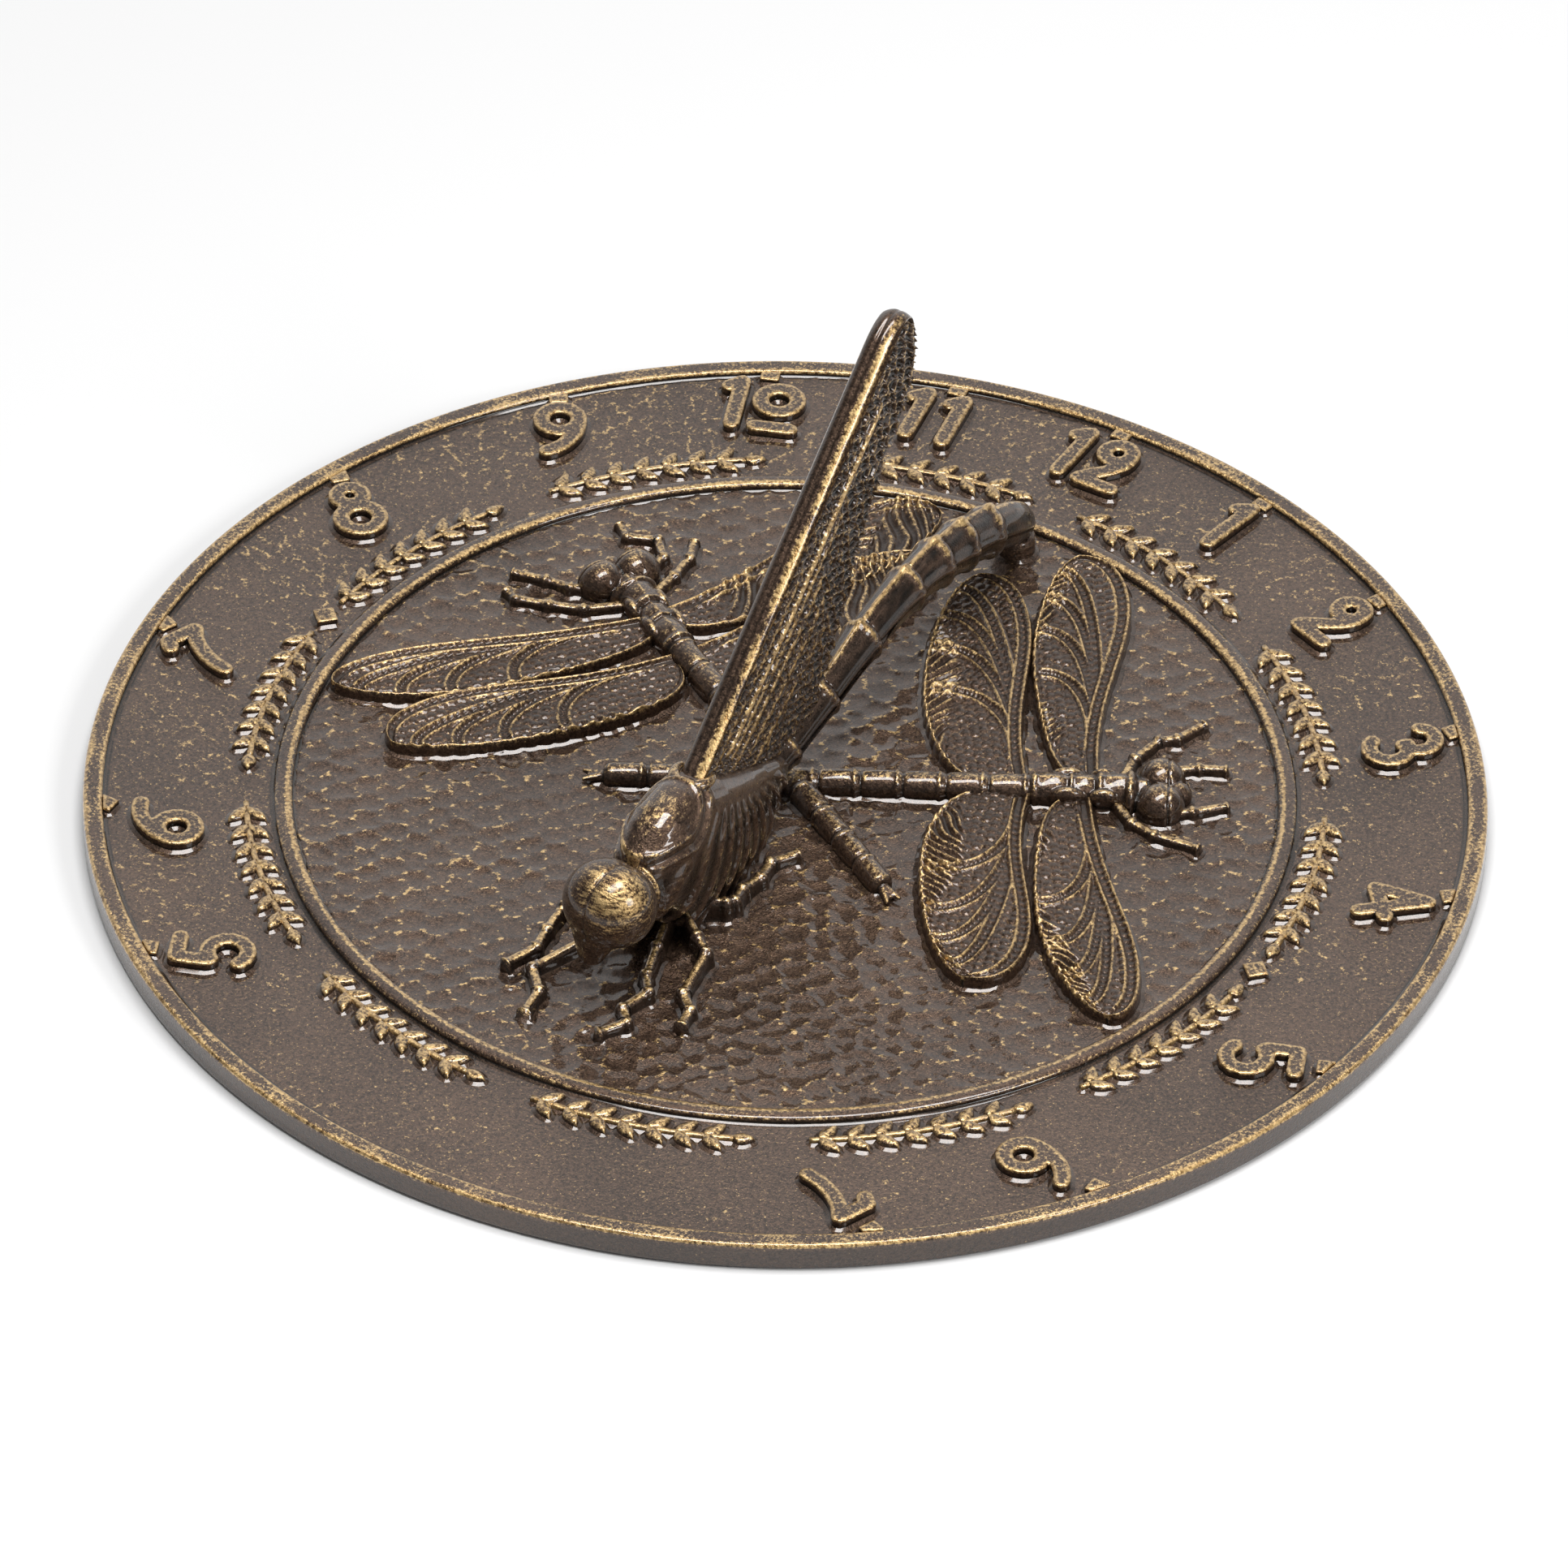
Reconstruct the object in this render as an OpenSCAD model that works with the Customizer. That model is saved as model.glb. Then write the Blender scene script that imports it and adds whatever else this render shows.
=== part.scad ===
// Horizontal garden sundial with a dragonfly gnomon.
// Frame: +Z up, +Y along the noon line, +X to the afternoon side.
// Origin: centre of the plate, on the surface that it rests on.

/* [Plate] */
// Diameter of the dial plate
plate_d = 305; // [290:1:340]
// Height of the plate's edge
edge_h = 6.6; // [6:0.1:9]
// Width of the raised land round the rim
rim_w = 4.5; // [3:0.1:6]
// Depth of the dial face below the rim land
face_drop = 1.4; // [0.8:0.1:2.2]
// Thickness of metal between the face and the hollow back
web_t = 3; // [2.4:0.1:3.4]
// Width of the foot that runs round the hollow back
foot_w = 7; // [4:0.5:14]
// Rounding of the plate's top outer edge
edge_r = 1.3; // [0.4:0.1:1.8]
// Chamfer of the plate's bottom outer edge
foot_chamfer = 0.6; // [0.2:0.1:1]

/* [Hour band and inner ring] */
// Width of the hour band, between the rim land and the bead
band_w = 37; // [35:0.5:39]
// Width of the bead
ring_w = 4; // [3:0.1:4.6]
// Height of the bead above the face
ring_rise = 1.7; // [1:0.1:2.4]

/* [Hours] */
// Latitude that the dial is laid out for, degrees
latitude = 41; // [38:0.5:43]
// First hour on the dial, 24-hour clock
first_hour = 5; // [4:1:8]
// Last hour on the dial, 24-hour clock
last_hour = 19; // [16:1:20]
// Distance from the plate's centre back to the point where the style meets the face
style_foot = 80; // [78:0.5:82]
// Height of a numeral, as a share of the hour band's width
numeral_share = 0.503; // [0.44:0.001:0.53]
// Width of a numeral's stroke
stroke_w = 3.3; // [2.4:0.1:3.8]
// Height of the numerals above the face
numeral_rise = 2.3; // [1.4:0.1:3]
// Gap between the hour marks and the numerals
numeral_gap = 0.6; // [0.3:0.1:1.5]
// Length of an hour mark, from the rim inwards
mark_l = 2.6; // [1.6:0.1:3.2]
// Width of an hour mark
mark_w = 4; // [2.5:0.1:5]

/* [Leaf sprays] */
// Height of the leaf sprays, as a share of the hour band's width
spray_share = 0.26; // [0.19:0.005:0.28]
// Gap between the inner ring and the sprays
spray_gap = 1.4; // [0.8:0.1:2]
// Height of the sprays and studs above the face
spray_rise = 1.7; // [1:0.1:2.6]
// Sprays between the west and the east stud, on each side
sprays_per_side = 6; // [4:1:7]
// Pairs of leaves on one spray
leaf_pairs = 7; // [4:1:8]
// Width of a leaf
leaf_w = 3.6; // [2.4:0.1:3.8]
// Width of a spray's stem
stem_w = 1.6; // [1:0.1:2]
// Side of a square stud
stud_w = 4.6; // [3:0.1:6]

/* [Relief dragonflies] */
// Angle of the east dragonfly's body to the east-west line, degrees
east_angle = 28; // [27:0.5:30]
// Angle of the west dragonfly's body to the east-west line, degrees
west_angle = 31; // [29:0.5:32]
// Distance north of the plate's centre where the two bodies cross
cross_y = 3; // [1:0.5:5]
// Distance from where the bodies cross to the centre of a head
relief_head_x = 80; // [78:0.5:81]
// Distance from where the bodies cross to the end of an abdomen
relief_tail_x = 41; // [38:0.5:43]
// Radius of the abdomen where it leaves the thorax
relief_abdomen_r = 3.3; // [2.8:0.1:3.6]
// Rings of one abdomen
relief_rings = 10; // [8:1:12]
// Radius of the thorax
relief_thorax_r = 4.3; // [3.8:0.1:4.8]
// Length of the thorax
relief_thorax_l = 23; // [21:0.5:25]
// Radius of one eye
relief_eye_r = 5.4; // [4.8:0.1:5.8]
// Height of the body's axis above the face
relief_axis_z = 1.8; // [1.2:0.1:2.4]
// Thickness of the wings
relief_wing_t = 3.8; // [2.6:0.2:4.2]
// Height of the veins above the wing
vein_rise = 0.6; // [0.3:0.1:1]
// Width of a vein
vein_w = 1.1; // [0.7:0.1:1.5]
// Veins that fan out in one wing
vein_count = 5; // [3:1:6]
// Width of a leg in relief
leg_w = 2; // [1.4:0.1:2.4]
// Height of a leg in relief
leg_t = 2.6; // [1.6:0.1:3]

/* [Gnomon] */
// Height of the thorax at the front of the wing seat, above the face
thorax_h = 33; // [31:0.5:35]
// Greatest width of the thorax
thorax_w = 18; // [15:0.5:20]
// Radius of one of the large eyes
eye_r = 9.2; // [8.5:0.1:10]
// Height of the eyes' centres above the face
eye_z = 22; // [20.5:0.5:23]
// Distance between the eyes' centres
eye_spread = 2.8; // [2:0.2:5]
// Radius of the abdomen at its thickest ring
abdomen_r = 4.4; // [3.8:0.1:4.8]
// Length of the style edge, from the style's foot to the start of the tip
style_l = 152; // [140:1:154]
// Thickness of the wings at the style edge
style_t = 6.4; // [5:0.2:7]
// Width of the rib behind the style edge
style_rib_w = 5; // [3.5:0.1:7]
// Thickness of the folded wings behind the rib
blade_t = 4.4; // [3:0.2:4.8]
// Height of the blade's veins above its sides
blade_vein_rise = 0.6; // [0.3:0.1:0.9]
// Width of the blade's veins
blade_vein_w = 1.6; // [1:0.1:2.4]

/* [Screws] */
// Thread diameter of the gnomon's screws
screw_d = 4; // [3:0.5:5]
// Length of the screws over their heads
screw_l = 12; // [10:1:13]
// Head diameter
screw_head_d = 8; // [6:0.1:9]
// Radial play of the thread in the gnomon
thread_play = 0.1; // [0.05:0.05:0.2]
// Radial play of the screw in the plate
screw_play = 0.25; // [0.1:0.05:0.5]
// Depth of the tapped holes above the face
tap_depth = 9; // [8:0.5:10]
// Distance of the front screw behind the plate's centre
front_screw_y = 34; // [30:0.5:38]
// Distance of the rear screw in front of the plate's centre
rear_screw_y = 100; // [99:0.5:101]
// Diameter of the bosses in the hollow back
boss_d = 14; // [11:0.5:18]
// Distance of the bosses from the surface that the plate rests on
boss_clear = 0.8; // [0.4:0.1:1.2]
// Diameter of the foot under the tail
tail_foot_d = 8.6; // [8:0.2:9]

/* [Hidden] */
$fn = 96;

plate_r = plate_d / 2;
face_z = edge_h - face_drop;
back_z = face_z - web_t;
rim_r = plate_r - rim_w;
ring_r = rim_r - band_w - ring_w / 2;
numeral_h = numeral_share * band_w;
numeral_r = rim_r - mark_l - numeral_gap - numeral_h / 2;
spray_h = spray_share * band_w;
band_r = ring_r + ring_w / 2 + spray_gap + spray_h / 2;
bronze = [0.36, 0.32, 0.28];
brass = [0.55, 0.46, 0.29];
steel = [0.62, 0.62, 0.60];
eps = 0.01;
// The dragonflies are drawn for one radius of the ring and grow or shrink with it
drawn_ring_r = 109;
fit = ring_r / drawn_ring_r;
module fitted() {
    translate([0, 0, face_z]) scale(fit) children();
}

// Curves and outlines

function unit(v) = v / norm(v);
function left_of(v) = [-v[1], v[0]];
function turned(p, a) = [p[0] * cos(a) - p[1] * sin(a), p[0] * sin(a) + p[1] * cos(a)];
function arc(c, r, a0, a1, n = 10) =
    [for (i = [0 : n]) let (a = a0 + (a1 - a0) * i / n) c + r * [cos(a), sin(a)]];
function bezier_at(p, t) =
    pow(1 - t, 3) * p[0] + 3 * t * pow(1 - t, 2) * p[1] + 3 * t * t * (1 - t) * p[2] + pow(t, 3) * p[3];
function bezier(p, n = 8, from = 0) = [for (i = [from : n]) bezier_at(p, i / n)];
function tangent(path, i) = unit(path[min(i + 1, len(path) - 1)] - path[max(i - 1, 0)]);

// Outline of a stroke of one width with round ends, along a path
function stroke_outline(path, width, ends = 4) =
    let (last = len(path) - 1, r = width / 2, t0 = tangent(path, 0), t1 = tangent(path, last))
    concat(
        [for (i = [0 : last]) path[i] - r * left_of(tangent(path, i))],
        [for (k = [1 : ends - 1]) let (a = -90 + 180 * k / ends)
            path[last] + r * (cos(a) * t1 + sin(a) * left_of(t1))],
        [for (i = [last : -1 : 0]) path[i] + r * left_of(tangent(path, i))],
        [for (k = [1 : ends - 1]) let (a = 90 + 180 * k / ends)
            path[0] + r * (cos(a) * t0 + sin(a) * left_of(t0))]);

module stroke(path, width, height) {
    linear_extrude(height) polygon(stroke_outline(path, width));
}

// Solid through a row of rings that all have the same number of points
module loft(rings) {
    n = len(rings[0]);
    m = len(rings);
    polyhedron(
        points = [for (ring = rings) each ring],
        faces = concat(
            [[for (i = [n - 1 : -1 : 0]) i]],
            [[for (i = [0 : n - 1]) (m - 1) * n + i]],
            [for (j = [0 : m - 2]) for (i = [0 : n - 1])
                let (a = j * n + i, b = j * n + (i + 1) % n)
                each [[a, b, a + n], [b, b + n, a + n]]]),
        convexity = 8);
}

// Hour lines

// Bearing of an hour line from the foot of the style, degrees east of noon
function hour_bearing(hour) =
    atan2(sin(latitude) * sin(15 * (hour - 12)), cos(15 * (hour - 12)));
// Point where an hour line crosses a circle round the plate's centre
function hour_point(hour, radius) =
    let (d = [sin(hour_bearing(hour)), cos(hour_bearing(hour))], foot = style_foot * fit, along = foot * d[1])
    [0, -foot] + (along + sqrt(along * along - foot * foot + radius * radius)) * d;

module at_hour(hour, radius) {
    p = hour_point(hour, radius);
    translate([p[0], p[1], face_z]) rotate(-hour_bearing(hour)) children();
}

// Plate

module dial_plate() {
    foot_r = plate_r - foot_w;
    color(bronze) difference() {
        union() {
            rotate_extrude($fn = 180) polygon(concat(
                [[0, back_z], [foot_r, back_z], [foot_r, 0], [plate_r - foot_chamfer, 0],
                 [plate_r, foot_chamfer]],
                arc([plate_r - edge_r, edge_h - edge_r], edge_r, 0, 90, 4),
                [[rim_r, edge_h], [rim_r, face_z], [0, face_z]]));
            at_screws() translate([0, 0, boss_clear]) cylinder(d = boss_d, h = back_z - boss_clear + eps);
        }
        at_screws() {
            translate([0, 0, -1]) cylinder(d = screw_d + 2 * screw_play, h = edge_h + 2);
            translate([0, 0, boss_clear - eps]) screw_head_cone(eps);
        }
    }
}

module inner_ring() {
    color(brass) translate([0, 0, face_z]) rotate_extrude($fn = 180)
        translate([ring_r, 0]) polygon(concat(
            [[ring_w / 2, 0]],
            arc([ring_w / 2 - ring_rise / 2, ring_rise / 2], ring_rise / 2, 0, 90, 3),
            arc([ring_rise / 2 - ring_w / 2, ring_rise / 2], ring_rise / 2, 90, 180, 3),
            [[-ring_w / 2, 0]]));
}

module hour_marks() {
    color(brass) intersection() {
        union() for (hour = [first_hour : last_hour])
            at_hour(hour, rim_r) translate([-mark_w / 2, -mark_l, 0]) cube([mark_w, 2 * mark_l, face_drop]);
        cylinder(r = rim_r, h = edge_h, $fn = 180);
    }
}

// Numerals: each digit is drawn about its centre, in units of the height of its centre line

module bar(a, b) {
    stroke([a, b] * (numeral_h - stroke_w), stroke_w, numeral_rise);
}

module bow(path) {
    stroke(path * (numeral_h - stroke_w), stroke_w, numeral_rise);
}

module eye_of_digit(c, r) {
    u = numeral_h - stroke_w;
    translate([c[0] * u, c[1] * u, 0]) difference() {
        cylinder(r = r * u + stroke_w / 2, h = numeral_rise, $fn = 40);
        translate([0, 0, -1]) cylinder(r = r * u - stroke_w / 2, h = numeral_rise + 2, $fn = 40);
    }
}

module digit(n) {
    if (n == 0) {
        eye_of_digit([0, 0.14], 0.27);
        bar([-0.26, -0.5], [0.26, -0.5]);
    }
    if (n == 1) {
        bar([0, 0.5], [0, -0.5]);
        bar([-0.17, 0.36], [0, 0.5]);
    }
    if (n == 2) {
        eye_of_digit([-0.02, 0.28], 0.2);
        bow(bezier([[0.18, 0.28], [0.24, -0.02], [-0.04, -0.2], [-0.26, -0.48]]));
        bar([-0.26, -0.5], [0.28, -0.5]);
    }
    if (n == 3) {
        bow(arc([0, 0.25], 0.25, 150, -85));
        bow(arc([0, -0.22], 0.28, 85, -150));
    }
    if (n == 4) {
        bar([0.14, 0.5], [0.14, -0.5]);
        bar([0.14, 0.5], [-0.3, -0.16]);
        bar([-0.3, -0.16], [0.34, -0.16]);
    }
    if (n == 5) {
        bar([-0.2, 0.5], [0.24, 0.5]);
        bar([-0.2, 0.5], [-0.22, 0.06]);
        bow(arc([0, -0.21], 0.29, 130, -140));
    }
    if (n == 6) {
        eye_of_digit([0, -0.23], 0.27);
        bow(bezier([[-0.27, -0.23], [-0.27, 0.1], [-0.08, 0.4], [0.22, 0.5]]));
    }
    if (n == 7) {
        bar([-0.3, 0.36], [-0.24, 0.5]);
        bar([-0.24, 0.5], [0.24, 0.5]);
        bow(bezier([[0.24, 0.5], [0, 0.24], [-0.04, -0.2], [0.04, -0.5]]));
    }
    if (n == 8) {
        eye_of_digit([0, 0.31], 0.19);
        eye_of_digit([0, -0.22], 0.28);
    }
    if (n == 9) {
        eye_of_digit([0, 0.23], 0.27);
        bow(bezier([[0.27, 0.23], [0.27, -0.1], [0.08, -0.4], [-0.22, -0.5]]));
    }
}

module numeral(n) {
    u = numeral_h - stroke_w;
    if (n < 10) {
        digit(n);
    } else {
        translate([-0.36 * u, 0, 0]) digit(1);
        translate([(n == 11 ? 0.2 : 0.24) * u, 0, 0]) digit(n - 10);
    }
}

module hour_numerals() {
    color(brass) for (hour = [first_hour : last_hour])
        at_hour(hour, numeral_r) numeral((hour - 1) % 12 + 1);
}

// Band

// Leaf from its base point, at an angle, with a pointed tip
function leaf_outline(base, angle, length) =
    let (half = concat(
        bezier([[0, 0], [0.25 * length, leaf_w * 0.68], [0.7 * length, leaf_w * 0.6], [length, 0]], 5),
        bezier([[length, 0], [0.7 * length, -leaf_w * 0.6], [0.25 * length, -leaf_w * 0.68], [0, 0]], 5, 1)))
    [for (i = [0 : len(half) - 2]) base + turned(half[i], angle)];

// Spray that runs along the band from its own middle, clockwise when turn is 1
module spray(middle, turn) {
    leaf_angle = 48;
    leaf_l = (spray_h - leaf_w * 0.6) / 2 / sin(leaf_angle);
    side_deg = 90 / sprays_per_side - 3;
    pitch_deg = 2 * side_deg / (leaf_pairs + 1);
    translate([0, 0, face_z]) {
        stroke(arc([0, 0], band_r, middle + turn * side_deg, middle - turn * side_deg, 12),
            stem_w, spray_rise);
        for (i = [0 : leaf_pairs - 1]) for (side = [-1, 1]) {
            a = middle + turn * (side_deg - pitch_deg * (i + 0.35));
            linear_extrude(spray_rise) polygon(leaf_outline(
                band_r * [cos(a), sin(a)], a - turn * 90 + side * leaf_angle, leaf_l));
        }
        end = middle - turn * (side_deg - pitch_deg * 0.35);
        linear_extrude(spray_rise) polygon(leaf_outline(
            band_r * [cos(end), sin(end)], end - turn * 90, leaf_l * 0.8));
    }
}

module band_sprays() {
    step = 180 / sprays_per_side;
    color(brass) for (turn = [-1, 1]) for (i = [0 : sprays_per_side - 1])
        spray(turn * (step * (i + 0.5)), turn);
}

module quarter_studs() {
    color(brass) for (side = [-1, 1]) translate([side * band_r, 0, face_z + spray_rise / 2])
        rotate(45) cube([stud_w, stud_w, spray_rise], center = true);
}

// Relief dragonflies: each is drawn with its head towards +X, its left side towards +Y and the face at z = 0

// Wings and legs are drawn for this distance of the head and take their size from it
drawn_head_x = 80;
relief_unit = relief_head_x / drawn_head_x;

module east_place() {
    fitted() translate([0, cross_y, 0]) rotate(east_angle) children();
}

module west_place() {
    fitted() translate([0, cross_y, 0]) rotate(180 - west_angle) children();
}

// Round bar along +X from x, tapered from one radius to the other
module lying(x, length, r0, r1) {
    translate([x, 0, relief_axis_z]) rotate([0, 90, 0]) cylinder(h = length, r1 = r0, r2 = r1, $fn = 32);
}

// Barrel of the thorax between two shares of its length
module barrel(from, to, r) {
    x = relief_head_x - relief_eye_r - relief_thorax_l * (1 - from);
    half = relief_thorax_l * (to - from) / 2;
    lying(x, half + eps, r * 0.84, r);
    lying(x + half, half + eps, r, r * 0.84);
}

module relief_body() {
    waist_x = relief_head_x - relief_eye_r - relief_thorax_l;
    pitch = (waist_x + relief_tail_x) / relief_rings;
    groove_l = 1;
    groove_depth = 0.35;
    tail_r = relief_abdomen_r * 0.8;
    grow = (relief_abdomen_r - tail_r) / relief_rings;
    fork_l = 5;
    difference() {
        union() {
            for (i = [0 : relief_rings - 1]) {
                x = -relief_tail_x + i * pitch;
                r = tail_r + i * grow;
                lying(x, pitch - groove_l + eps, r, r + grow);
                lying(x + pitch - groove_l - eps, groove_l + 3 * eps, r - groove_depth, r - groove_depth);
            }
            barrel(0, 0.36, relief_thorax_r * 0.94);
            barrel(0.36, 0.62, relief_thorax_r * 0.9);
            barrel(0.62, 1, relief_thorax_r);
            lying(relief_head_x - relief_eye_r - 1, relief_eye_r, 2.4, 2.4);
            for (side = [-1, 1]) {
                translate([relief_head_x, side * relief_eye_r * 0.8, relief_axis_z])
                    sphere(r = relief_eye_r, $fn = 40);
                translate([-relief_tail_x, 0, 0]) rotate(180 + side * 14)
                    translate([-1, -tail_r * 0.35, 0]) cube([fork_l + 1, tail_r * 0.7, relief_axis_z + 1]);
            }
            translate([relief_head_x + relief_eye_r * 0.72, 0, relief_axis_z])
                sphere(r = relief_eye_r * 0.55, $fn = 32);
        }
        translate([-plate_r, -plate_r, -plate_r]) cube([2 * plate_r, 2 * plate_r, plate_r]);
    }
}

// Points of a trailing edge from the tip to its deepest place, at the share deep of the length
function trail_curve(length, trail, deep) =
    [[length, 0], [0.95 * length, -0.4 * trail], [(deep + 0.24) * length, -trail], [deep * length, -trail]];

// Outline of a wing from its root at the origin to its tip at [length, 0]; the leading edge bulges to +Y
function wing_edge(length, lead, trail, deep) = concat(
    bezier([[0, 0.12 * lead], [0.36 * length, 0.1 * lead], [0.56 * length, lead], [0.78 * length, lead]], 8),
    bezier([[0.78 * length, lead], [0.93 * length, lead], [1.01 * length, 0.6 * lead], [length, 0]], 5, 1),
    bezier(trail_curve(length, trail, deep), 7, 1),
    bezier([[deep * length, -trail], [(deep - 0.12) * length, -trail], [-0.02 * length, -0.9 * trail],
        [0, -0.25 * trail]], 6, 1));

// Vein that leaves the root behind the leading edge and turns to the trailing edge at the share f of its curve
function vein_path(length, lead, trail, deep, f) =
    let (end = bezier_at(trail_curve(length, trail, deep), f) * 0.98, front = lead * (1 - f))
    bezier([[0.05 * length, -0.1 * trail * f], [0.45 * end[0], 0.4 * front],
        [0.92 * end[0] + 0.03 * length, 0.3 * end[1] + 0.5 * front], end], 8);

// Wing from root to tip in plan; side is 1 when the leading edge lies to the left of that way
module relief_wing(root, tip, front, back, deep, side) {
    lead = front * relief_unit;
    trail = back * relief_unit;
    length = norm(tip - root) * relief_unit;
    bearing = atan2(tip[1] - root[1], tip[0] - root[0]);
    edge = wing_edge(length, lead, trail, deep);
    translate([root[0] * relief_unit, root[1] * relief_unit, 0]) rotate(bearing) scale([1, side, 1]) {
        linear_extrude(relief_wing_t) polygon(edge);
        translate([0, 0, relief_wing_t - eps]) {
            stroke([for (i = [1 : 12]) edge[i] - vein_w / 2 * left_of(tangent(edge, i))],
                vein_w, vein_rise + eps);
            for (k = [1 : vein_count])
                stroke(vein_path(length, lead, trail, deep, k / (vein_count + 1)),
                    vein_w * 0.8, vein_rise + eps);
        }
    }
}

// Slot that the body fills between its wings
module thorax_slot() {
    translate([-plate_r, -relief_thorax_r, -edge_h]) cube([2 * plate_r, 2 * relief_thorax_r, 4 * edge_h]);
}

// Roots and tips are east and north of the plate's centre
module west_dragonfly_wings() {
    color(bronze) difference() {
        fitted() {
            relief_wing([-55, 34.5], [-102.5, -21], 6.5, 13, 0.5, -1);
            relief_wing([-43.5, 25], [-81, -32], 10, 14.5, 0.3, -1);
            relief_wing([-53, 38], [-19, 100], 10.5, 13, 0.5, 1);
            relief_wing([-41, 29], [-11, 84], 9.5, 17, 0.3, 1);
        }
        west_place() thorax_slot();
    }
}

module east_dragonfly_wings() {
    color(bronze) difference() {
        fitted() {
            relief_wing([56, 37], [14.5, 102], 11, 12, 0.48, -1);
            relief_wing([43, 28.5], [-1, 85], 9.5, 18.5, 0.33, -1);
            relief_wing([58, 30.5], [99, -32], 8, 14, 0.5, 1);
            relief_wing([46, 24], [66, -37], 11.5, 18.5, 0.3, 1);
        }
        east_place() thorax_slot();
    }
}

module west_dragonfly_body() {
    crossing_gap = 0.3;
    half = relief_abdomen_r + crossing_gap;
    color(brass) difference() {
        west_place() relief_body();
        east_place() translate([-6 * half, -half, -edge_h]) cube([12 * half, 2 * half, 4 * edge_h]);
    }
}

module east_dragonfly_body() {
    color(brass) east_place() relief_body();
}

// Legs that reach out from under the head and thorax, cut back to them
module relief_legs(routes) {
    eye_gap = 0.1;
    tall = 2 * edge_h;
    difference() {
        for (route = routes) stroke(route * relief_unit, leg_w, leg_t);
        translate([0, -relief_thorax_r, -edge_h])
            cube([relief_head_x - relief_eye_r + eps, 2 * relief_thorax_r, tall]);
        for (side = [-1, 1]) translate([relief_head_x, side * relief_eye_r * 0.8, -edge_h])
            cylinder(r = relief_eye_r + eye_gap, h = tall, $fn = 40);
        translate([relief_head_x - relief_eye_r, -relief_eye_r * 0.75, -edge_h])
            cube([2 * relief_eye_r, relief_eye_r * 1.5, tall]);
    }
}

module west_dragonfly_legs() {
    color(brass) west_place() relief_legs([
        [[77, 4], [82, 11], [87, 14.5], [93, 20]],
        [[71, 3], [74, 12], [79, 18], [84, 23.5], [88, 24]],
        [[79, -7], [82, -12], [88, -14], [92, -8.5], [97, -9]],
        [[71, -3], [75, -11], [79, -17], [84, -21]]]);
}

module east_dragonfly_legs() {
    color(brass) east_place() relief_legs([
        [[71, 3], [74, 12], [79, 18.5], [83, 19.5], [89, 25]],
        [[80, 8], [88, 9.5], [94.5, 9.5]],
        [[81, -7], [87, -5.5], [95, -3]],
        [[70, -3], [74, -10], [79, -14], [89, -18]]]);
}

// Gnomon: y is measured north from the plate's centre and z from the face

// Point given along the style from its foot, and square to it towards the plate
function off_style(along, below) =
    [-style_foot + along * cos(latitude) + below * sin(latitude),
     along * sin(latitude) - below * cos(latitude)];
seat_front = [thorax_h / tan(latitude) - style_foot, thorax_h];
seat_rear = [-9, 15.8];
function seat_z(y) =
    seat_front[1] + (y - seat_front[0]) * (seat_rear[1] - seat_front[1]) / (seat_rear[0] - seat_front[0]);

neck_y = -66;
foot_front_y = -52.6;
foot_rear_y = -15;
waist = [-5, 11.6];
arch_front = [22, 14.8];
arch_rear = [48, 38.8];
tail_end = [106, 4.6];
tail_foot_h = 5;
body_sides = 20;

// Ring of the thorax at y: half its width, its top and its low line as shares of half the thorax's width and of
// its height; flat where it meets the face or the wings
function thorax_ring(y, wide, top, low) =
    let (c = (top + low) / 2 * thorax_h, h = (top - low) / 2 * thorax_h,
        seated = y >= seat_front[0] && y <= seat_rear[0])
    [for (i = [0 : body_sides - 1]) let (a = 360 * i / body_sides, z = max(0, c + h * sin(a)))
        [wide * thorax_w / 2 * cos(a), y, seated ? min(seat_z(y), z) : z]];

// Ring of the abdomen at a share t of its length, square to its curve, with a raised keel on top
function abdomen_ring(t, r) =
    let (p = [waist, arch_front, arch_rear, tail_end], c = bezier_at(p, t),
        d = unit(bezier_at(p, min(1, t + 0.01)) - bezier_at(p, max(0, t - 0.01))),
        up = [-d[1], d[0]])
    [for (i = [0 : body_sides - 1]) let (a = 360 * i / body_sides, k = r * sin(a) * (a == 90 ? 1.16 : 1))
        [r * cos(a), c[0] + up[0] * k, max(0, c[1] + up[1] * k)]];

abdomen_rings = 9;
// Radius at the share t of the abdomen, slim at the waist and full before the tail
function abdomen_size(t) = abdomen_r * (0.62 + 0.38 * sin(min(1, t * 1.2) * 90));

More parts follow.
